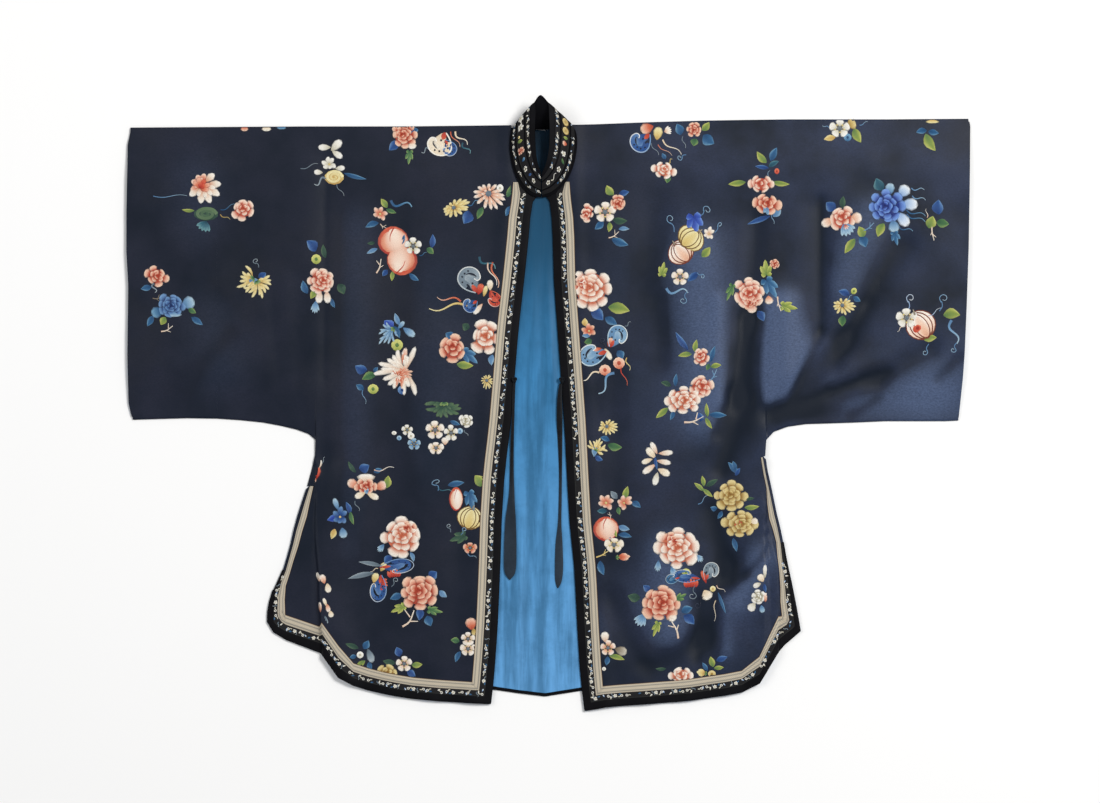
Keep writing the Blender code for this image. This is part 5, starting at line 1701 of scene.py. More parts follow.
MOTIFS = worded("""
work x y w h turn dye
curl 170 196 3 34 0 sky
fringe 204 226 14 11 245 teal
snail 206 214 25 14 90 forest
leaf 188 210 4 13 175 lime
curl 225 217 3 11 330 ochre
curl 228 207 3 16 20 azure
lily 204 187 36 34 60 pearl
rose 243 209 25 22 120 rose
petal 244 128 8 6 270 coral
petal 266 128 10 6 270 cream
petal 281 127 10 4 270 azure
rose 156 276 27 19 70 coral
curl 154 288 6 9 270 slate
leaf 146 288 7 11 190 azure
branch 157 298 6 9 10 bark
petal 188 303 14 14 20 sky
petal 157 312 12 13 200 azure
peony 171 306 30 26 80 blue
petal 174 314 16 6 270 sky
leaf 150 321 7 12 240 azure
leaf 197 321 7 14 325 azure
leaf 163 321 8 9 240 lime
leaf 192 311 6 9 330 leaf
branch 167 329 9 13 30 pearl
leaf 262 275 8 9 30 blue
tendril 256 263 8 10 120 slate
spray 246 283 30 19 215 straw
spray 261 289 30 19 300 straw
leaf 254 281 7 13 350 sky
petal 324 147 7 13 180 white
petal 336 145 9 15 45 white
petal 337 154 7 13 325 white
curl 309 166 3 18 15 slate
curl 340 190 3 14 300 slate
orchid 329 164 18 16 95 white
petal 340 168 6 10 5 white
petal 318 172 6 9 175 white
snail 334 177 20 15 90 straw
curl 320 181 7 13 200 slate
leaf 355 176 5 24 345 azure
leaf 311 246 12 14 130 blue
ball 316 259 10 10 90 lime
leaf 324 251 6 14 100 forest
leaf 305 287 8 14 110 azure
fringe 315 307 8 13 265 sky
leaf 333 303 5 10 290 azure
leaf 341 289 10 12 300 forest
leaf 312 294 7 10 250 lime
petal 319 297 8 13 262 pearl
petal 327 297 8 13 276 pearl
peony 321 281 28 29 80 rose
leaf 393 145 10 13 230 blue
leaf 413 131 10 11 20 azure
maple 409 157 12 15 265 leaf
peony 404 135 27 26 90 coral
petal 412 145 9 8 280 pearl
wing 441 143 26 24 250 cream
wing 449 147 15 17 300 blue
curl 455 139 4 18 300 coral
curl 461 138 6 18 310 cream
curl 466 148 6 13 300 teal
curl 425 150 5 8 200 slate
leaf 466 217 13 14 250 blue
leaf 480 213 7 13 245 leaf
curl 473 203 4 11 20 azure
daisy 457 208 30 17 112 straw
ball 500 188 7 8 90 white
leaf 509 191 7 13 70 leaf
leaf 508 211 7 11 245 azure
daisy 491 197 34 27 75 blush
leaf 384 203 7 11 125 lime
leaf 391 211 5 11 340 leaf
curl 401 204 9 22 340 azure
leaf 372 225 7 14 200 azure
orchid 380 214 19 15 60 rose
branch 383 226 5 7 330 pearl
leaf 372 251 5 12 205 sky
leaf 371 243 4 8 185 forest
branch 379 266 8 15 75 pearl
peach 393 241 31 30 100 rose
leaf 392 276 5 10 265 lime
leaf 414 277 6 12 325 azure
leaf 385 273 6 8 230 blue
peach 402 260 31 31 260 rose
leaf 402 240 6 13 70 azure
leaf 394 256 5 13 260 azure
leaf 392 244 7 10 300 lime
leaf 404 252 7 12 335 leaf
plum 413 246 18 18 90 white
leaf 432 241 7 14 85 blue
leaf 430 251 7 9 320 leaf
curl 423 254 2 8 20 azure
curl 487 263 8 20 320 teal
curl 495 275 6 26 280 coral
curl 492 274 5 24 290 pearl
wing 470 281 24 27 120 slate
wing 494 298 14 17 300 red
wing 471 305 15 15 215 blue
curl 448 307 8 38 182 straw
curl 449 299 6 24 168 coral
petal 478 309 6 14 230 pearl
petal 480 289 8 12 70 red
petal 485 291 5 12 75 straw
petal 490 285 7 11 90 cream
leaf 397 319 6 13 110 sky
leaf 388 325 12 12 130 deep_blue
spray 386 335 24 22 220 sky
petal 409 332 8 15 325 sky
petal 401 325 5 10 50 sky
leaf 396 332 7 14 300 azure
leaf 361 368 11 13 160 blue
leaf 369 377 9 15 200 leaf
ball 373 389 11 10 90 lime
leaf 360 387 7 9 150 azure
curl 364 397 3 14 280 sky
leaf 376 370 5 7 60 azure
petal 404 356 6 18 78 rose
fan 391 372 50 34 182 pearl
ball 397 345 12 12 90 lime
fan 405 375 26 17 10 coral
ball 402 390 9 9 90 blue
leaf 466 326 9 8 150 forest
leaf 449 336 10 9 140 azure
maple 470 357 20 20 320 azure
leaf 465 365 9 17 355 lime
rose 453 349 27 31 115 coral
rose 485 337 28 37 80 blush
leaf 492 360 7 11 265 sky
daisy 488 382 14 16 90 straw
spray 444 411 38 17 270 forest
leaf 455 423 5 11 340 azure
plum 451 433 15 17 90 white
plum 435 430 20 19 90 pearl
petal 445 441 8 8 90 pearl
plum 436 448 17 12 90 pearl
rose 466 421 15 14 60 white
ball 460 431 6 6 90 sky
curl 466 433 2 7 300 slate
plum 407 430 12 11 90 white
ball 411 436 7 7 90 white
plum 414 444 14 12 90 sky
ball 399 438 5 5 90 sky
ball 394 433 5 4 90 white
petal 319 464 6 10 80 pearl
petal 316 473 9 15 80 red
petal 314 480 5 6 250 rose
curl 323 460 2 7 60 slate
leaf 352 467 5 14 125 forest
leaf 364 467 11 11 20 blue
leaf 378 471 6 9 20 azure
curl 384 469 4 20 5 pearl
leaf 387 482 9 13 80 lime
petal 366 478 19 9 90 pearl
petal 353 484 10 13 150 rose
petal 381 486 10 13 25 rose
rose 366 487 25 16 90 coral
petal 360 495 7 12 205 cream
petal 373 496 7 13 335 cream
ball 367 491 6 6 90 sky
curl 357 506 3 11 290 slate
leaf 333 518 8 13 200 deep_blue
leaf 348 508 6 13 110 blue
petal 336 504 6 13 110 sky
orchid 340 517 18 22 80 blue
petal 343 533 9 11 280 sky
leaf 333 534 7 11 250 straw
leaf 352 518 5 14 285 leaf
petal 318 577 4 10 105 pearl
petal 323 579 7 10 110 blush
petal 328 588 7 10 280 cream
petal 320 607 4 11 95 blush
petal 325 602 4 9 110 cream
petal 328 608 5 9 285 blush
petal 331 614 6 7 280 cream
leaf 326 622 4 13 280 slate
petal 287 587 8 11 60 ochre
petal 286 595 9 10 200 blush
petal 288 603 7 9 330 pearl
petal 287 612 7 11 340 white
petal 289 617 5 7 320 pearl
tendril 436 485 13 12 110 sky
curl 445 490 4 16 340 teal
leaf 456 484 7 17 10 azure
leaf 478 481 12 13 120 lime
peach 456 499 14 24 90 blush
gourd 470 518 27 24 75 straw
maple 471 501 19 22 285 azure
maple 458 538 17 18 200 forest
tendril 449 528 6 9 110 slate
tendril 463 531 6 9 60 sky
plum 470 548 15 11 90 coral
curl 472 556 3 10 330 sky
fringe 381 548 6 10 230 sky
leaf 388 560 9 11 230 blue
leaf 412 557 5 10 290 sky
peony 402 537 43 44 100 blush
rose 407 530 22 21 60 coral
wing 396 566 15 34 5 blue
teeth 394 573 16 9 95 red
wing 379 588 17 27 262 blue
teeth 384 585 15 8 350 red
petal 383 567 7 10 60 straw
petal 375 578 8 11 70 straw
leaf 370 564 5 24 170 slate
leaf 361 576 6 27 192 slate
tendril 394 582 7 11 60 slate
curl 374 570 2 8 200 cream
leaf 433 575 11 10 40 blue
leaf 396 597 8 13 200 azure
leaf 443 594 7 10 320 sky
maple 398 609 14 16 205 lime
maple 435 611 13 16 350 leaf
leaf 429 621 10 11 290 azure
leaf 419 614 9 13 270 blue
branch 409 619 18 20 60 pearl
peony 420 592 42 38 90 coral
leaf 352 646 6 14 160 forest
leaf 366 645 8 10 60 azure
ball 360 655 7 7 90 white
petal 370 656 8 15 290 slate
leaf 360 665 6 13 220 lime
leaf 370 666 6 8 290 azure
leaf 353 657 5 7 190 azure
leaf 398 652 9 10 110 blue
leaf 389 662 7 13 170 forest
leaf 411 674 8 10 330 blue
leaf 417 665 7 11 5 lime
plum 404 664 17 16 90 pearl
rose 386 674 24 18 90 ochre
petal 471 624 12 13 100 coral
petal 474 632 6 8 280 ochre
plum 468 639 15 14 90 pearl
plum 468 649 17 14 90 pearl
leaf 455 641 7 9 170 leaf
leaf 458 657 6 12 245 azure
wing 642 141 22 22 225 blue
petal 647 128 12 14 200 coral
petal 658 133 10 14 80 straw
fringe 668 130 8 8 20 pearl
curl 672 147 5 24 320 cream
tendril 682 157 8 10 210 sky
curl 665 150 3 18 320 rose
curl 655 149 3 14 300 slate
leaf 679 129 10 12 110 azure
curl 684 142 3 12 280 slate
leaf 706 126 8 11 50 lime
leaf 695 142 9 8 250 leaf
leaf 709 139 13 14 320 azure
rose 694 129 16 15 270 coral
leaf 664 156 5 7 120 azure
curl 670 161 4 6 30 ochre
leaf 667 179 7 8 270 leaf
rose 664 170 25 16 80 blush
ball 664 169 8 7 90 rose
leaf 624 193 7 11 15 blue
leaf 610 190 9 12 125 lime
rose 587 213 13 20 250 rose
rose 618 203 19 17 330 coral
leaf 620 220 8 15 355 forest
leaf 599 225 8 12 225 azure
leaf 609 227 6 10 265 lime
leaf 624 229 5 11 0 sky
branch 614 235 8 12 35 pearl
leaf 620 242 9 18 340 azure
plum 605 212 23 21 90 pearl
tendril 671 223 10 19 110 sky
tendril 704 211 12 15 40 sky
tendril 718 227 5 13 60 sky
leaf 706 252 9 13 50 lime
gourd 681 252 28 25 130 blush
gourd 691 238 30 25 40 straw
maple 695 224 26 20 280 deep_blue
orchid 709 234 13 16 70 pearl
maple 663 269 14 15 80 lime
leaf 693 277 8 14 220 blue
tendril 701 275 6 9 330 sky
plum 680 277 18 17 90 pearl
curl 677 291 9 22 345 sky
tendril 685 298 10 14 250 sky
leaf 597 315 13 16 320 blue
leaf 619 309 13 22 350 lime
leaf 611 321 9 14 330 azure
peony 591 289 42 46 90 blush
rose 584 286 22 26 90 coral
leaf 585 322 7 8 90 straw
orchid 589 331 17 16 90 coral
leaf 588 341 8 8 200 leaf
leaf 586 336 6 8 180 sky
curl 628 324 3 7 30 slate
wing 616 337 20 24 60 sky
petal 610 342 6 10 70 coral
wing 594 355 22 28 195 sky
petal 597 350 6 10 200 coral
leaf 620 355 9 10 300 azure
ball 619 363 12 12 90 coral
ball 605 370 12 11 90 coral
curl 590 376 6 20 200 cream
curl 606 383 9 26 230 sky
curl 624 376 4 20 285 red
curl 628 364 4 13 280 straw
petal 608 354 6 14 300 cream
tendril 603 343 8 12 110 night
leaf 682 341 7 22 125 blue
leaf 696 346 6 13 82 lime
leaf 685 355 6 14 188 lime
leaf 713 354 6 17 75 azure
leaf 716 366 6 11 10 lime
leaf 708 367 5 7 250 leaf
branch 713 376 7 15 60 sky
rose 701 357 17 18 80 rose
leaf 676 380 5 13 85 azure
leaf 666 384 6 11 160 forest
leaf 662 413 7 16 220 lime
leaf 672 415 5 11 250 azure
leaf 707 410 5 14 95 lime
leaf 718 415 7 18 358 azure
leaf 709 423 5 13 300 lime
leaf 700 417 8 9 100 blue
branch 694 420 12 20 20 pearl
rose 701 387 26 26 50 rose
peony 683 400 37 27 90 blush
leaf 605 439 6 10 160 azure
daisy 609 428 22 16 90 straw
spray 599 445 22 14 60 straw
leaf 595 451 7 12 260 sky
leaf 615 446 9 15 350 leaf
leaf 599 458 6 9 330 blue
leaf 762 157 8 15 130 lime
leaf 774 154 8 15 65 azure
leaf 774 164 6 12 30 teal
leaf 762 167 5 14 172 blue
ball 777 171 5 6 90 red
curl 768 175 3 10 60 sky
leaf 737 183 7 18 187 lime
leaf 781 183 6 18 353 lime
rose 761 184 31 17 85 rose
leaf 759 220 6 25 200 blue
leaf 777 212 8 12 50 sky
curl 773 219 2 10 280 sky
rose 766 204 31 19 80 coral
maple 768 211 16 8 270 sky
leaf 922 131 7 11 190 azure
leaf 934 132 7 11 350 azure
leaf 931 142 11 20 300 lime
petal 933 121 14 4 270 straw
petal 852 123 14 9 20 ochre
leaf 858 135 10 16 295 lime
ball 848 137 8 8 90 azure
leaf 830 138 7 12 190 straw
plum 840 128 22 18 90 white
curl 826 126 2 7 160 sky
curl 864 123 2 9 20 sky
leaf 880 184 12 14 120 teal
leaf 881 230 10 15 245 lime
maple 896 238 14 15 285 azure
curl 918 189 4 13 350 sky
curl 919 198 4 14 340 sky
curl 916 213 5 20 340 azure
curl 916 218 5 20 335 azure
curl 906 229 4 15 340 azure
petal 890 189 10 13 80 sky
petal 904 191 13 14 50 ice
petal 910 204 13 17 355 ice
petal 903 219 12 18 310 ice
petal 894 226 12 13 280 sky
peony 887 207 36 36 90 deep_blue
leaf 831 206 12 12 140 blue
leaf 843 202 7 12 85 forest
petal 828 222 10 14 205 blush
petal 856 218 12 13 10 blush
rose 842 219 28 27 85 rose
fringe 847 229 15 14 300 sky
leaf 861 232 10 12 110 lime
leaf 850 246 9 18 235 lime
leaf 863 242 11 12 300 azure
branch 869 227 6 13 40 sky
leaf 939 207 13 15 90 blue
branch 933 233 5 15 280 pearl
leaf 943 223 10 13 350 leaf
leaf 931 222 12 13 70 lime
curl 927 213 2 9 95 pearl
petal 769 300 9 9 280 blush
peony 750 294 33 37 100 rose
rose 751 302 18 16 260 coral
maple 730 292 12 19 250 leaf
leaf 761 316 9 12 300 blue
rose 775 264 11 10 60 coral
maple 766 268 18 17 95 lime
branch 779 304 5 15 285 pearl
maple 771 288 22 23 300 azure
maple 789 307 16 18 350 lime
leaf 844 293 8 12 160 blue
ball 854 291 6 7 60 lime
leaf 857 299 6 9 330 azure
curl 849 298 2 9 40 sky
leaf 843 321 9 11 265 leaf
daisy 845 307 25 17 90 straw
tendril 909 302 11 19 80 ice
tendril 942 302 12 19 75 sky
curl 935 312 3 15 30 ice
curl 954 332 9 24 280 sky
tendril 955 348 8 11 250 sky
tendril 927 350 7 13 250 sky
leaf 930 338 9 14 5 lime
gourd 921 325 31 31 120 blush
ball 918 328 11 12 40 red
leaf 952 315 12 17 0 lime
curl 900 329 2 7 220 pearl
plum 907 318 23 20 90 white
petal 654 448 6 14 118 pearl
petal 651 453 8 14 130 cream
petal 666 453 6 15 5 pearl
petal 647 461 6 12 200 cream
petal 664 462 6 15 350 pearl
petal 649 469 7 16 215 pearl
petal 664 472 8 14 333 cream
petal 656 479 7 14 256 white
leaf 656 463 4 14 280 blue
leaf 614 495 7 10 130 slate
leaf 626 493 7 14 75 lime
leaf 636 505 7 11 330 azure
leaf 619 511 5 8 280 leaf
leaf 602 511 6 10 180 teal
orchid 606 503 21 17 60 rose
orchid 624 503 16 20 30 rose
branch 610 516 4 8 100 pearl
leaf 624 528 7 12 345 sky
leaf 625 536 6 14 350 azure
peach 606 529 26 25 100 rose
leaf 615 531 6 13 285 lime
leaf 608 536 5 9 330 blue
plum 614 545 21 14 90 cream
branch 603 554 5 15 30 straw
bud 623 557 9 15 5 coral
leaf 602 568 8 15 285 azure
fringe 658 566 6 12 265 sky
fringe 673 571 6 11 290 sky
fringe 699 558 6 11 320 sky
ball 686 572 9 7 90 lime
peony 677 548 46 44 90 blush
rose 672 542 24 22 60 coral
leaf 699 487 5 13 140 lime
leaf 703 481 5 11 100 lime
leaf 708 493 5 13 320 lime
leaf 712 483 6 14 30 forest
curl 703 500 3 13 40 sky
leaf 714 508 6 7 170 azure
leaf 720 515 5 9 240 azure
leaf 752 507 6 15 5 lime
leaf 750 499 4 9 10 forest
leaf 733 468 7 15 130 azure
leaf 738 472 5 9 60 blue
leaf 735 545 6 14 285 azure
peony 731 496 33 32 90 ochre
peony 740 524 36 27 90 ochre
petal 754 522 9 9 0 cream
rose 740 524 12 9 90 red
wing 687 577 13 27 172 blue
wing 673 579 10 14 190 azure
teeth 691 583 17 9 92 red
wing 710 572 16 19 60 slate
petal 704 577 5 14 110 red
petal 707 595 12 11 300 cream
ball 713 589 6 6 90 straw
tendril 694 593 11 15 260 slate
tendril 700 603 8 15 240 night
curl 715 611 3 21 265 cream
leaf 722 603 4 23 290 azure
curl 721 589 3 11 320 pearl
leaf 634 597 10 13 170 forest
leaf 646 589 8 9 130 blue
maple 681 597 12 13 30 leaf
leaf 687 610 9 12 20 azure
leaf 689 620 11 14 320 blue
fringe 641 620 12 14 240 sky
maple 656 629 12 17 250 lime
branch 675 629 10 20 115 pearl
peony 661 603 45 37 90 coral
petal 672 617 10 10 310 pearl
petal 765 571 5 14 88 white
petal 761 578 8 9 120 cream
petal 769 580 5 11 280 straw
petal 757 585 6 9 205 white
leaf 765 588 4 9 280 blue
rose 758 597 15 15 130 white
petal 766 597 7 10 80 blush
petal 752 607 9 10 230 white
petal 762 609 6 8 280 sky
petal 605 637 9 11 95 pearl
plum 608 648 16 16 90 blush
petal 621 651 10 13 340 bark
leaf 617 658 6 16 345 lime
leaf 607 661 6 9 260 azure
ball 604 669 4 4 90 white
rose 681 676 25 18 85 blush
bud 702 673 9 11 170 straw
ball 712 674 8 7 90 ochre
leaf 712 662 7 11 105 lime
leaf 719 668 5 10 5 lime
leaf 705 667 5 10 120 azure
leaf 722 659 7 12 20 blue
leaf 661 669 4 11 180 forest
leaf 734 466 6 10 100 azure
""")


# The ribbon's repeat, in millimetres along and across it. Its stitches go astray by up to half of
# these and some are worn away. The collar's motifs lie by section and by share of its height.

RIBBON_PITCH = 34.0
RIBBON_WORN = 0.2
RIBBON_ASTRAY = table("along across turn", (3.0, 1.6, 60.0))[0]
RIBBON_HEIGHT = 0.45
RIBBON_AHEAD = 4.0
RIBBON_REPEAT = worded("""
    work along across w h turn dye
    tendril -13.0 0.4 5.6 9.0 160 white, petal -8.2 -2.0 2.6 6.0 60 white
    curl -5.2 1.6 3.0 8.0 100 slate, orchid 0.0 0.0 8.0 8.0 90 white, leaf 5.2 2.2 2.6 5.5 20 azure
    tendril 9.0 -0.4 5.6 9.0 20 white, petal 14.2 1.8 2.4 5.0 130 ice
""")
COLLAR_TRIM_SHARES = (0.20, 0.76)
COLLAR_TRIM_SIZE = 0.85
COLLAR_TRIM_ACROSS = 0.012
COLLAR_TRIM_START = 0.9
COLLAR_TRIM_END = 0.15
COLLAR_HEIGHT = 0.5
COLLAR_MOTIFS = worded("""
    work at share w h turn dye
    plum 1.1 0.48 8 8 90 white, leaf 1.7 0.52 4 8 60 blue, plum 2.3 0.46 9 9 90 white
    petal 2.9 0.5 6 8 100 azure, rose 3.5 0.48 13 15 90 coral, leaf 4.1 0.48 7 11 90 lime
    ball 4.4 0.44 5 5 90 straw, orchid 5.1 0.48 14 16 90 white, curl 5.6 0.5 7 20 0 white
    orchid 6.0 0.48 13 15 60 white, leaf 6.9 0.48 5 10 30 azure, plum 7.6 0.48 10 10 90 white
    leaf 8.4 0.48 5 10 150 leaf, petal 9.2 0.48 7 10 90 blue, ball 9.9 0.5 5 6 90 ochre
    ball 10.5 0.48 6 7 90 ochre, petal 11.1 0.48 9 11 90 mauve, snail 12.3 0.48 13 14 90 ochre
    snail 13.0 0.48 13 14 90 ochre, leaf 13.5 0.48 6 10 90 lime, petal 13.9 0.5 9 10 90 coral
    orchid 14.6 0.48 11 13 90 white, leaf 15.1 0.45 5 10 45 leaf, plum 15.8 0.48 9 9 90 white
    curl 16.5 0.48 6 14 0 white, plum 17.2 0.48 8 8 90 white
""")


def stitched():
    """An empty bmesh that worked motifs are joined in."""
    bm = bmesh.new()
    bm.loops.layers.uv.new("UVMap")
    bm.verts.layers.float_color.new("Thread")
    return bm


def sew(bm, needle, lay):
    """Lays a worked motif where lay(x, y, height) puts it, and joins it in."""
    spots = np.array([vert.co[:] for vert in needle.bm.verts])
    for vert, point in zip(needle.bm.verts, lay(*spots.T)):
        vert.co = Vector(point) * MM
    worked_motif = bpy.data.meshes.new("motif")
    needle.bm.to_mesh(worked_motif)
    needle.bm.free()
    bm.from_mesh(worked_motif)
    bpy.data.meshes.remove(worked_motif)


def on_chart(row):
    return (row.x - CHART.x) * CHART.square, (CHART.y - row.y) * CHART.square


def layer_of(rows):
    """How many motifs each one is worked over."""
    levels = []
    for row in rows:
        under = [0]
        for level, other in zip(levels, rows):
            reach = STITCH_OVERLAP * (row.w + row.h + other.w + other.h)
            if abs(row.x - other.x) + abs(row.y - other.y) < reach:
                under.append(level + 1)
        levels.append(min(max(under), STITCH_LAYERS))
    return levels


def bare_silk(side, x, y):
    """Whether a front's silk shows there, clear of its borders, folds and ends."""
    line = BORDER_LINES[-1] + STITCH_CLEAR.border
    arm = side * x >= side * side_x(side, UNDERARM_Y)
    slit = side * side_x(side, y) - read(SIDE_LINES[side], "y", "braid", y)
    shown = (inward(side, x, y) > line) & (y < shoulder_y(x) - STITCH_CLEAR.shoulder)
    shown &= y > hem_line_y(side, x, line)
    shown &= (y > UNDERARM_Y) | (side * x < slit - STITCH_CLEAR.slit)
    shown &= ~arm | (y > underside_y(side, x) + STITCH_CLEAR.shoulder)
    return shown & (side * x < side * read(CUFF[side], "y", "x", y) - STITCH_CLEAR.cuff)


def embroidery(side):
    """All the motifs worked on one half."""
    bm = stitched()
    rows = [row for row in MOTIFS if (on_chart(row)[0] > CENTRE_FRONT_X) == (side > 0)]
    for n, (row, level) in enumerate(zip(rows, layer_of(rows))):
        needle = Needle(*on_chart(row), row.turn, 7 * n + 2 + side)
        WORKS[row.work](needle, row.w * CHART.square, row.h * CHART.square, DYES[row.dye])
        lift = STITCH_LIFT + STITCH_STEP * level
        sew(bm, needle, lambda x, y, height: np.stack([x, y, skin(x, y) + lift + height], axis=-1))
    faces = list(bm.faces)
    spots = np.array([face.calc_center_median()[:2] for face in faces]) / MM
    shown = bare_silk(side, *spots.T)
    gone = [face for face, seen in zip(faces, shown) if not seen]
    bmesh.ops.delete(bm, geom=gone, context="FACES")
    return close_stitches(bm)


def close_stitches(bm):
    """Welds each patch's pointed ends."""
    bmesh.ops.remove_doubles(bm, verts=bm.verts, dist=FINE_WELD)
    return bm


def loose_repeat(seed):
    """The ribbon's repeat with some stitches worn away and the rest a little astray."""
    chance = random.Random(seed)
    for row in RIBBON_REPEAT:
        worn, off, aside, twist = (chance.random() for _ in range(4))
        if worn > RIBBON_WORN:
            across = row.across + RIBBON_ASTRAY.across * (aside - 0.5)
            turn = row.turn + RIBBON_ASTRAY.turn * (twist - 0.5)
            yield row, RIBBON_ASTRAY.along * (off - 0.5), across, turn


def ribbon_flowers(side):
    """The flower ribbon's small repeat, along a front's opening, hem and slit."""
    bm = stitched()
    path = strip_path(side, 1)
    run = run_along(path)

    def spot_at(at):
        return np.array([np.interp(at, run, path[:, axis]) for axis in (0, 1)])

    for k in range(int(run[-1] / RIBBON_PITCH)):
        for row, off, across, turn in loose_repeat(k + 50 * side):
            at = RIBBON_PITCH * (k + 0.5) + row.along + off
            x, y = spot_at(at)
            dx, dy = spot_at(at + RIBBON_AHEAD) - spot_at(at - RIBBON_AHEAD)
            far = math.hypot(dx, dy)
            spot = (x - dy / far * across, y + dx / far * across)
            needle = Needle(*spot, turn + math.degrees(math.atan2(dy, dx)), k)
            WORKS[row.work](needle, row.w, row.h, DYES[row.dye])
            sew(bm, needle, lambda x, y, height: np.stack(
                [x, y, front_top(side, x, y) + RIBBON_TOP + RIBBON_HEIGHT * height], axis=-1,
            ))
    return close_stitches(bm)


def collar_flowers():
    """The motifs of the collar's wide ribbon and the repeat of its narrow ones."""
    points, normals = collar_net(np.linspace(0.0, 1.0, COLLAR_SHARES))
    last = len(COLLAR_ROWS) - 1
    inside = 0.9999

    def read_net(net, at, share):
        columns = np.clip(at / last, 0.0, inside) * (COLLAR_SECTIONS - 1)
        rows = np.clip(share, 0.0, inside) * (COLLAR_SHARES - 1)
        i, j = columns.astype(int), rows.astype(int)
        s, t = (columns - i)[:, None], (rows - j)[:, None]
        return lerp(lerp(net[i, j], net[i + 1, j], s), lerp(net[i, j + 1], net[i + 1, j + 1], s), t)

    def spread(at, share):
        """Millimetres to a section along the collar, and to its whole height."""
        one = read_net(points, np.array([at - 0.3, at + 0.3, at, at]), np.array([share, share, 0.3, 0.7]))
        return np.linalg.norm(one[1] - one[0]) / 0.6, np.linalg.norm(one[3] - one[2]) / 0.4

    bm = stitched()

    def place(work, at, share, w, h, turn, dye, seed):
        long, tall = spread(at, share)
        needle = Needle(0.0, 0.0, turn, seed)
        WORKS[work](needle, w, h, DYES[dye])

        def lay(x, y, height):
            along, up = at - x / long, share + y / tall
            out = (COLLAR_TOP + COLLAR_HEIGHT * height)[:, None]
            return read_net(points, along, up) + read_net(normals, along, up) * out

        sew(bm, needle, lay)

    for seed, row in enumerate(COLLAR_MOTIFS):
        place(*row, seed)
    for share in COLLAR_TRIM_SHARES:
        at = COLLAR_TRIM_START
        while at < last - COLLAR_TRIM_START:
            long = spread(at, share)[0]
            for row, off, across, turn in loose_repeat(int(31.0 * at)):
                spot = at + (row.along + off) / long
                spot = min(max(spot, COLLAR_TRIM_END), last - COLLAR_TRIM_END)
                w, h = COLLAR_TRIM_SIZE * row.w, COLLAR_TRIM_SIZE * row.h
                place(row.work, spot, share + COLLAR_TRIM_ACROSS * across, w, h, turn, row.dye, 3)
            at += RIBBON_PITCH / long
    return close_stitches(bm)


# What a user may change.

def colour_prop(name, description, colour):
    return FloatVectorProperty(
        name=name, description=description, default=colour, subtype="COLOR", size=3, min=0.0, max=1.0,
    )


def size_prop(name, description, default, low, high):
    return FloatProperty(
        name=name, description=description, default=default, min=low, max=high, unit="LENGTH",
    )


class SilkJacketColours(bpy.types.PropertyGroup):
    """Colours of the jacket's cloths and trims"""

    cloth_dark: colour_prop("Navy, deep", "Darkest patches of the navy silk", (0.0045, 0.0085, 0.0175))
    cloth_light: colour_prop("Navy, lit", "Silk of the wearer's right half", (0.0160, 0.0190, 0.0345))
    # Painted sheen: the wearer's left half is coloured lighter, as where more light falls on it.
    cloth_painted_sheen_side: colour_prop("Navy, far", "Silk of the wearer's left half", (0.023, 0.034, 0.074))
    cloth_worn: colour_prop("Navy, worn", "Patches where the silk is rubbed", (0.019, 0.020, 0.026))
    # Painted sheen on the ridges of the silk's folds.
    cloth_painted_ridge_sheen: colour_prop("Navy, faded", "Silk on the ridges of its folds", (0.070, 0.102, 0.190))
    black: colour_prop("Black silk", "Edges and collar", (0.003, 0.003, 0.004))
    lining_dark: colour_prop("Lining, neck", "Lining in the shade of the neck", (0.008, 0.066, 0.14))
    lining_middle: colour_prop("Lining, middle", "Lining at the waist", (0.040, 0.20, 0.42))
    lining_bright: colour_prop("Lining, hem", "Lining at the hem", (0.12, 0.345, 0.66))
    braid: colour_prop("Braid", "Cream of the woven braid", (0.50, 0.44, 0.34))
    braid_line: colour_prop("Braid lines", "Grey lines of the braid", (0.20, 0.20, 0.19))
    # A painted shadow line along the braid's cloth side.
    braid_painted_shadow: colour_prop("Braid edge", "Brown line on the braid's cloth side", (0.26, 0.17, 0.10))
    tie: colour_prop("Tie", "Slate silk of the ties", (0.011, 0.017, 0.025))
    floor: colour_prop("Floor", "Plain floor under the jacket", (0.90, 0.90, 0.90))


class SilkJacketSizes(bpy.types.PropertyGroup):
    """Sizes of the jacket's cloth, trims and stitches"""

    cloth: size_prop("Cloth", "Thickness of the lined silk", 0.0012, 0.0005, 0.0016)
    collar: size_prop("Collar", "Thickness of the stiff collar", 0.0020, 0.0010, 0.0024)
    trim: size_prop("Trim", "Thickness of borders, ribbons and braids", 0.0008, 0.0003, 0.0012)
    tie: size_prop("Tie", "Thickness of the tie ribbons", 0.0008, 0.0003, 0.0012)
    weave: size_prop("Weave", "Distance between the silk's drawn threads", 0.0009, 0.0003, 0.0020)
    strand: size_prop("Strand", "Distance between strands of floss silk", 0.0006, 0.0002, 0.0015)


class JacketOperator:
    """What the operators share"""

    bl_options = {"REGISTER", "UNDO"}

    @property
    def sizes(self):
        return bpy.context.scene.silk_jacket_sizes

    @property
    def colours(self):
        return bpy.context.scene.silk_jacket_colours


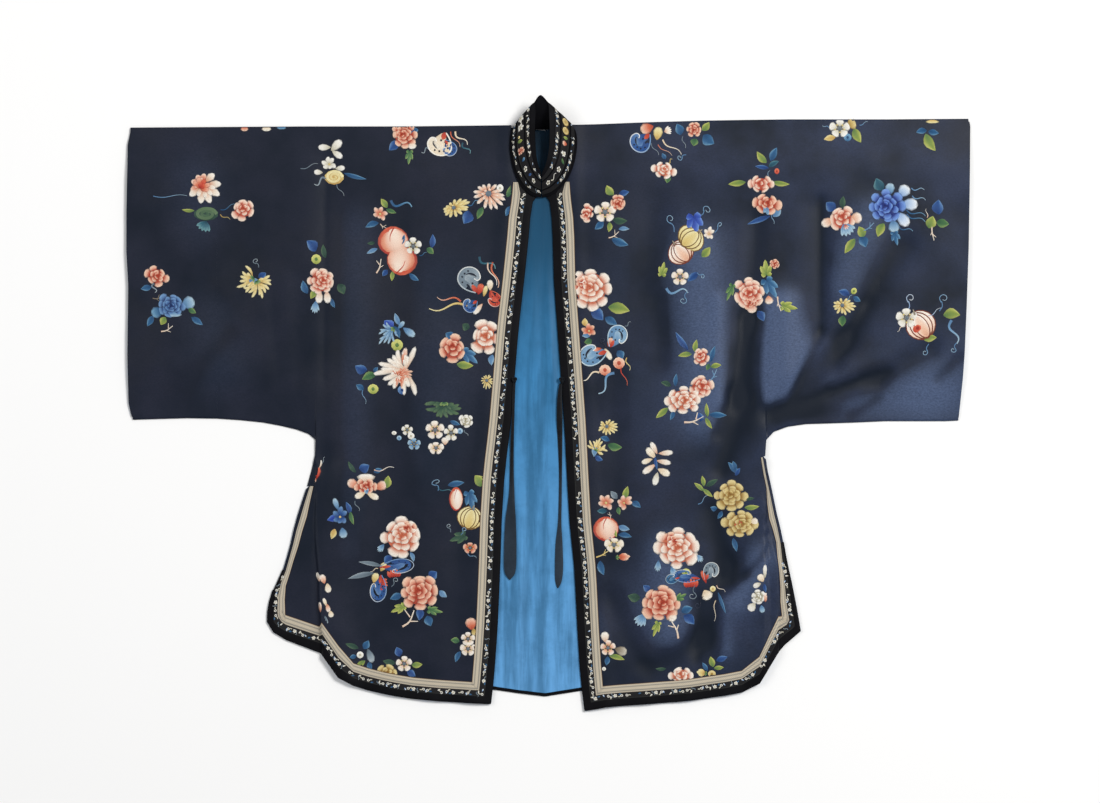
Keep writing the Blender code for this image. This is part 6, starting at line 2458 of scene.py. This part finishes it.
class SILK_JACKET_OT_finishes(JacketOperator, bpy.types.Operator):
    """Makes the silk, lining, ribbon, braid and floss finishes"""

    bl_idname = "silk_jacket.finishes"
    bl_label = "Cloth and Thread Finishes"

    def execute(self, context):
        c = self.colours
        weave = self.sizes.weave / MM
        weave_finish(
            "Navy silk", tuple(c.cloth_dark), tuple(c.cloth_light), tuple(c.cloth_painted_sheen_side), roughness=0.4,
            sheen=0.04, tint=(0.62, 0.76, 1.0), pitch=weave, gloss=0.14, worn=tuple(c.cloth_worn),
            painted_ridge_sheen=tuple(c.cloth_painted_ridge_sheen),
        )
        black = tuple(c.black)
        lighter = dimmed(black, 1.7)
        weave_finish(
            "Black silk", black, lighter, lighter, roughness=0.5, sheen=0.01, tint=(0.7, 0.8, 1.0),
            pitch=weave, cloud=20.0, gloss=0.06,
        )
        lining = [tuple(getattr(c, "lining_" + word)) for word in ("dark", "middle", "bright")]
        lining_finish("Blue lining", *lining, roughness=0.4)
        cream, line, edge = tuple(c.braid), tuple(c.braid_line), tuple(c.braid_painted_shadow)
        light = tuple(min(1.0, v * 1.2) for v in cream)
        # The brown stop and the dark last stop on the braid's cloth side paint a shadow line.
        braid_stops = (
            (0.0, (0.03, 0.03, 0.035)), (0.05, light), (0.12, cream), (0.24, line), (0.3, cream),
            (0.47, light), (0.62, cream), (0.70, line), (0.76, cream), (0.9, light), (0.955, edge),
            (1.0, (0.05, 0.03, 0.02)),
        )
        dark = (0.006, 0.007, 0.009)
        ribbon_stops = ((0.0, dark), (0.06, (0.02, 0.024, 0.022)), (0.14, dark), (0.9, dark), (1.0, dark))
        for row in table(
            "name stops roughness across_mm rib cross_rib depth",
            ("Cream braid", braid_stops, 0.6, 14.0, 1.6, 0.9, 0.35),
            ("Flower ribbon", ribbon_stops, 0.55, 10.0, 1.1, 0.7, 0.2),
            ("Collar ribbon", ribbon_stops, 0.5, 22.0, 1.2, 0.8, 0.2),
        ):
            strip_finish(*row)
        tie = tuple(c.tie)
        tie_light = dimmed(tie, 2.2)
        weave_finish(
            "Slate tie", tie, tie_light, tie_light, roughness=0.42, sheen=0.1, tint=(0.7, 0.85, 1.0),
            pitch=weave, cloud=14.0, deep_above=-0.1,
        )
        thread_finish("Floss silk", self.sizes.strand / MM)
        return {"FINISHED"}


class SILK_JACKET_OT_halves(JacketOperator, bpy.types.Operator):
    """Makes both halves of the jacket, each front and back in one"""

    bl_idname = "silk_jacket.halves"
    bl_label = "Jacket Halves"

    def execute(self, context):
        silks = [made_finish("Navy silk"), made_finish("Blue lining")]
        for side, word in SIDE_WORDS.items():
            piece = make_piece(context, "half_" + word, body_cloth(side), silks, CREASE)
            give_painted_light(piece)
            give_wall(piece, self.sizes.cloth / MM, 1)
            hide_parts("body_" + word)
        return {"FINISHED"}


class SILK_JACKET_OT_sleeves(JacketOperator, bpy.types.Operator):
    """Makes the sleeve extensions, each a flat tube"""

    bl_idname = "silk_jacket.sleeves"
    bl_label = "Sleeve Extensions"

    def execute(self, context):
        silks = [made_finish("Navy silk"), made_finish("Blue lining")]
        for side, word in SIDE_WORDS.items():
            bm = extension_cloth(side)
            piece = make_piece(context, "cuff_" + word, bm, silks, CREASE)
            give_painted_light(piece)
            give_wall(piece, self.sizes.cloth / MM, 1)
            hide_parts("sleeve_" + word)
        return {"FINISHED"}


class SILK_JACKET_OT_lining(JacketOperator, bpy.types.Operator):
    """Makes the lining that shows in the opening, and the edge of the back's hem"""

    bl_idname = "silk_jacket.lining"
    bl_label = "Lining and Back Hem"

    def execute(self, context):
        blue = made_finish("Blue lining")
        piece = make_piece(context, "lining_silk", lining_cloth(), blue)
        give_wall(piece, LINING * 0.8)
        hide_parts("lining_back")
        black = made_finish("Black silk")
        edge = make_piece(context, "back_hem_edge", back_edge_cloth(), black)
        give_wall(edge, LINING * 0.8)
        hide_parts("border_back")
        return {"FINISHED"}


class SILK_JACKET_OT_borders(JacketOperator, bpy.types.Operator):
    """Makes the black edges, the flower ribbons and the braids of both fronts"""

    bl_idname = "silk_jacket.borders"
    bl_label = "Borders"

    def execute(self, context):
        for side, word in SIDE_WORDS.items():
            for ring, strip in enumerate(STRIPS):
                bm = strip_cloth(side, ring, strip.lift, strip.crown)
                if ring == 0:
                    wrap_edge(bm, EDGE_TURNS)
                name = strip.piece + "_" + word
                piece = make_piece(context, name, bm, made_finish(strip.finish), STRIP_CREASE)
                give_wall(piece, self.sizes.trim / MM)
                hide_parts(strip.node + "_" + word)
        return {"FINISHED"}


class SILK_JACKET_OT_collar(JacketOperator, bpy.types.Operator):
    """Makes the standing collar and its three ribbons"""

    bl_idname = "silk_jacket.collar"
    bl_label = "Collar"

    def execute(self, context):
        black = made_finish("Black silk")
        band = band_cloth(0.0, 1.0, 0.0, 0.0, COLLAR_SHARES - 1)
        piece = make_piece(context, "collar_band", band, black, CREASE)
        give_wall(piece, self.sizes.collar / MM)
        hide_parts("collar")
        for row in COLLAR_RIBBONS:
            bm = band_cloth(row.start, row.end, SEAM_GAP + TRIM * 0.8, 0.25)
            trim = make_piece(context, row.piece, bm, made_finish(row.finish), CREASE)
            give_wall(trim, self.sizes.trim / MM)
            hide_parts(row.node)
        return {"FINISHED"}


class SILK_JACKET_OT_ties(JacketOperator, bpy.types.Operator):
    """Makes the two tie ribbons and their knots"""

    bl_idname = "silk_jacket.ties"
    bl_label = "Ties"

    def execute(self, context):
        silk = made_finish("Slate tie")
        for row in TIE_KNOTS:
            cloth = tie_cloth(row.side)
            ribbon = make_piece(context, "tie_ribbon_" + row.side, cloth, silk, CREASE)
            give_wall(ribbon, self.sizes.tie / MM)
            knot = make_piece(context, "tie_knot_" + row.side, knot_cord(row), silk)
            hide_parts("tie_" + row.side)
            width = max(tie.width for tie in TIES[row.side]) * MM
        return {"FINISHED"}


class SILK_JACKET_OT_embroidery(JacketOperator, bpy.types.Operator):
    """Works the flowers, fruit, leaves and butterflies, and the ribbons' repeats"""

    bl_idname = "silk_jacket.embroidery"
    bl_label = "Embroidery"

    def execute(self, context):
        floss = made_finish("Floss silk")
        for side, word in SIDE_WORDS.items():
            make_piece(context, "embroidery_" + word, embroidery(side), floss)
            make_piece(context, "ribbon_flowers_" + word, ribbon_flowers(side), floss)
        make_piece(context, "collar_flowers", collar_flowers(), floss)
        return {"FINISHED"}


class SILK_JACKET_OT_stage(JacketOperator, bpy.types.Operator):
    """Makes the floor, the studio light and the camera straight above"""

    bl_idname = "silk_jacket.stage"
    bl_label = "Stage and Camera"

    def execute(self, context):
        bm = bmesh.new()
        bmesh.ops.create_grid(bm, x_segments=2, y_segments=2, size=STAGE.floor)
        bmesh.ops.translate(bm, verts=bm.verts, vec=(0.0, 0.0, -STAGE.drop))
        mesh = bpy.data.meshes.new("floor")
        bm.to_mesh(mesh)
        bm.free()
        white = tuple(self.colours.floor)
        tree, shader = start_finish("Studio floor", white, roughness=0.9, specular=0.1)
        place = add(tree, "ShaderNodeTexCoord").outputs["Object"]
        bump(tree, shader, noise(tree, place, scale=30.0, detail=2.0), strength=0.02, depth_mm=0.2)
        mesh.materials.append(made_finish("Studio floor"))
        floor = bpy.data.objects.new("floor", mesh)
        context.scene.collection.objects.link(floor)
        floor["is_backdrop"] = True
        world = bpy.data.worlds.new("Soft white")
        world.use_nodes = True
        sky = world.node_tree.nodes["Background"]
        sky.inputs["Color"].default_value = SKY_COLOUR
        sky.inputs["Strength"].default_value = STAGE.sky
        context.scene.world = world
        for row in LAMPS:
            lamp = bpy.data.lights.new(row.name, "AREA")
            lamp.shape = "DISK"
            lamp.size = row.size
            lamp.energy = row.energy
            lamp.color = LAMP_COLOUR
            held = bpy.data.objects.new(row.name, lamp)
            held.location = (row.x, row.y, row.z)
            held.rotation_euler = Vector((row.x, row.y, row.z)).to_track_quat("Z", "Y").to_euler()
            context.scene.collection.objects.link(held)
        lens = bpy.data.cameras.new("Straight above")
        lens.lens = STAGE.lens
        lens.sensor_width = STAGE.sensor
        lens.clip_end = 50.0
        camera = bpy.data.objects.new("Straight above", lens)
        above = STAGE.frame * MM * STAGE.lens / STAGE.sensor + STAGE.above
        camera.location = (STAGE.x * MM, STAGE.y * MM, above)
        context.scene.collection.objects.link(camera)
        context.scene.camera = camera
        context.scene.view_settings.view_transform = "Standard"
        return {"FINISHED"}


class SILK_JACKET_PT_panel(bpy.types.Panel):
    """Lists the jacket's makers and what may be changed"""

    bl_idname = "SILK_JACKET_PT_panel"
    bl_label = "Silk Jacket"
    bl_space_type = "VIEW_3D"
    bl_region_type = "UI"
    bl_category = "Silk Jacket"

    def draw(self, context):
        for maker in MAKERS:
            self.layout.operator(maker.bl_idname)
        for group in (context.scene.silk_jacket_sizes, context.scene.silk_jacket_colours):
            box = self.layout.box()
            for key in group.__annotations__:
                box.prop(group, key)


MAKERS = (
    SILK_JACKET_OT_finishes, SILK_JACKET_OT_halves, SILK_JACKET_OT_sleeves, SILK_JACKET_OT_lining,
    SILK_JACKET_OT_borders, SILK_JACKET_OT_collar, SILK_JACKET_OT_ties, SILK_JACKET_OT_embroidery,
    SILK_JACKET_OT_stage,
)
CLASSES = (SilkJacketColours, SilkJacketSizes, *MAKERS, SILK_JACKET_PT_panel)


def register():
    for made in CLASSES:
        bpy.utils.register_class(made)
    bpy.types.Scene.silk_jacket_colours = PointerProperty(type=SilkJacketColours)
    bpy.types.Scene.silk_jacket_sizes = PointerProperty(type=SilkJacketSizes)


def unregister():
    del bpy.types.Scene.silk_jacket_sizes
    del bpy.types.Scene.silk_jacket_colours
    for made in reversed(CLASSES):
        bpy.utils.unregister_class(made)


def main():
    register()
    for maker in MAKERS:
        group, word = maker.bl_idname.split(".")
        if getattr(getattr(bpy.ops, group), word)() != {"FINISHED"}:
            raise RuntimeError(maker.bl_label + " wasn't finished")
    for name, corners in (("cad", CAD_BOX), ("visual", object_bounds())):
        [[float(value) for value in corner] for corner in corners]


if __name__ == "__main__":
    main()
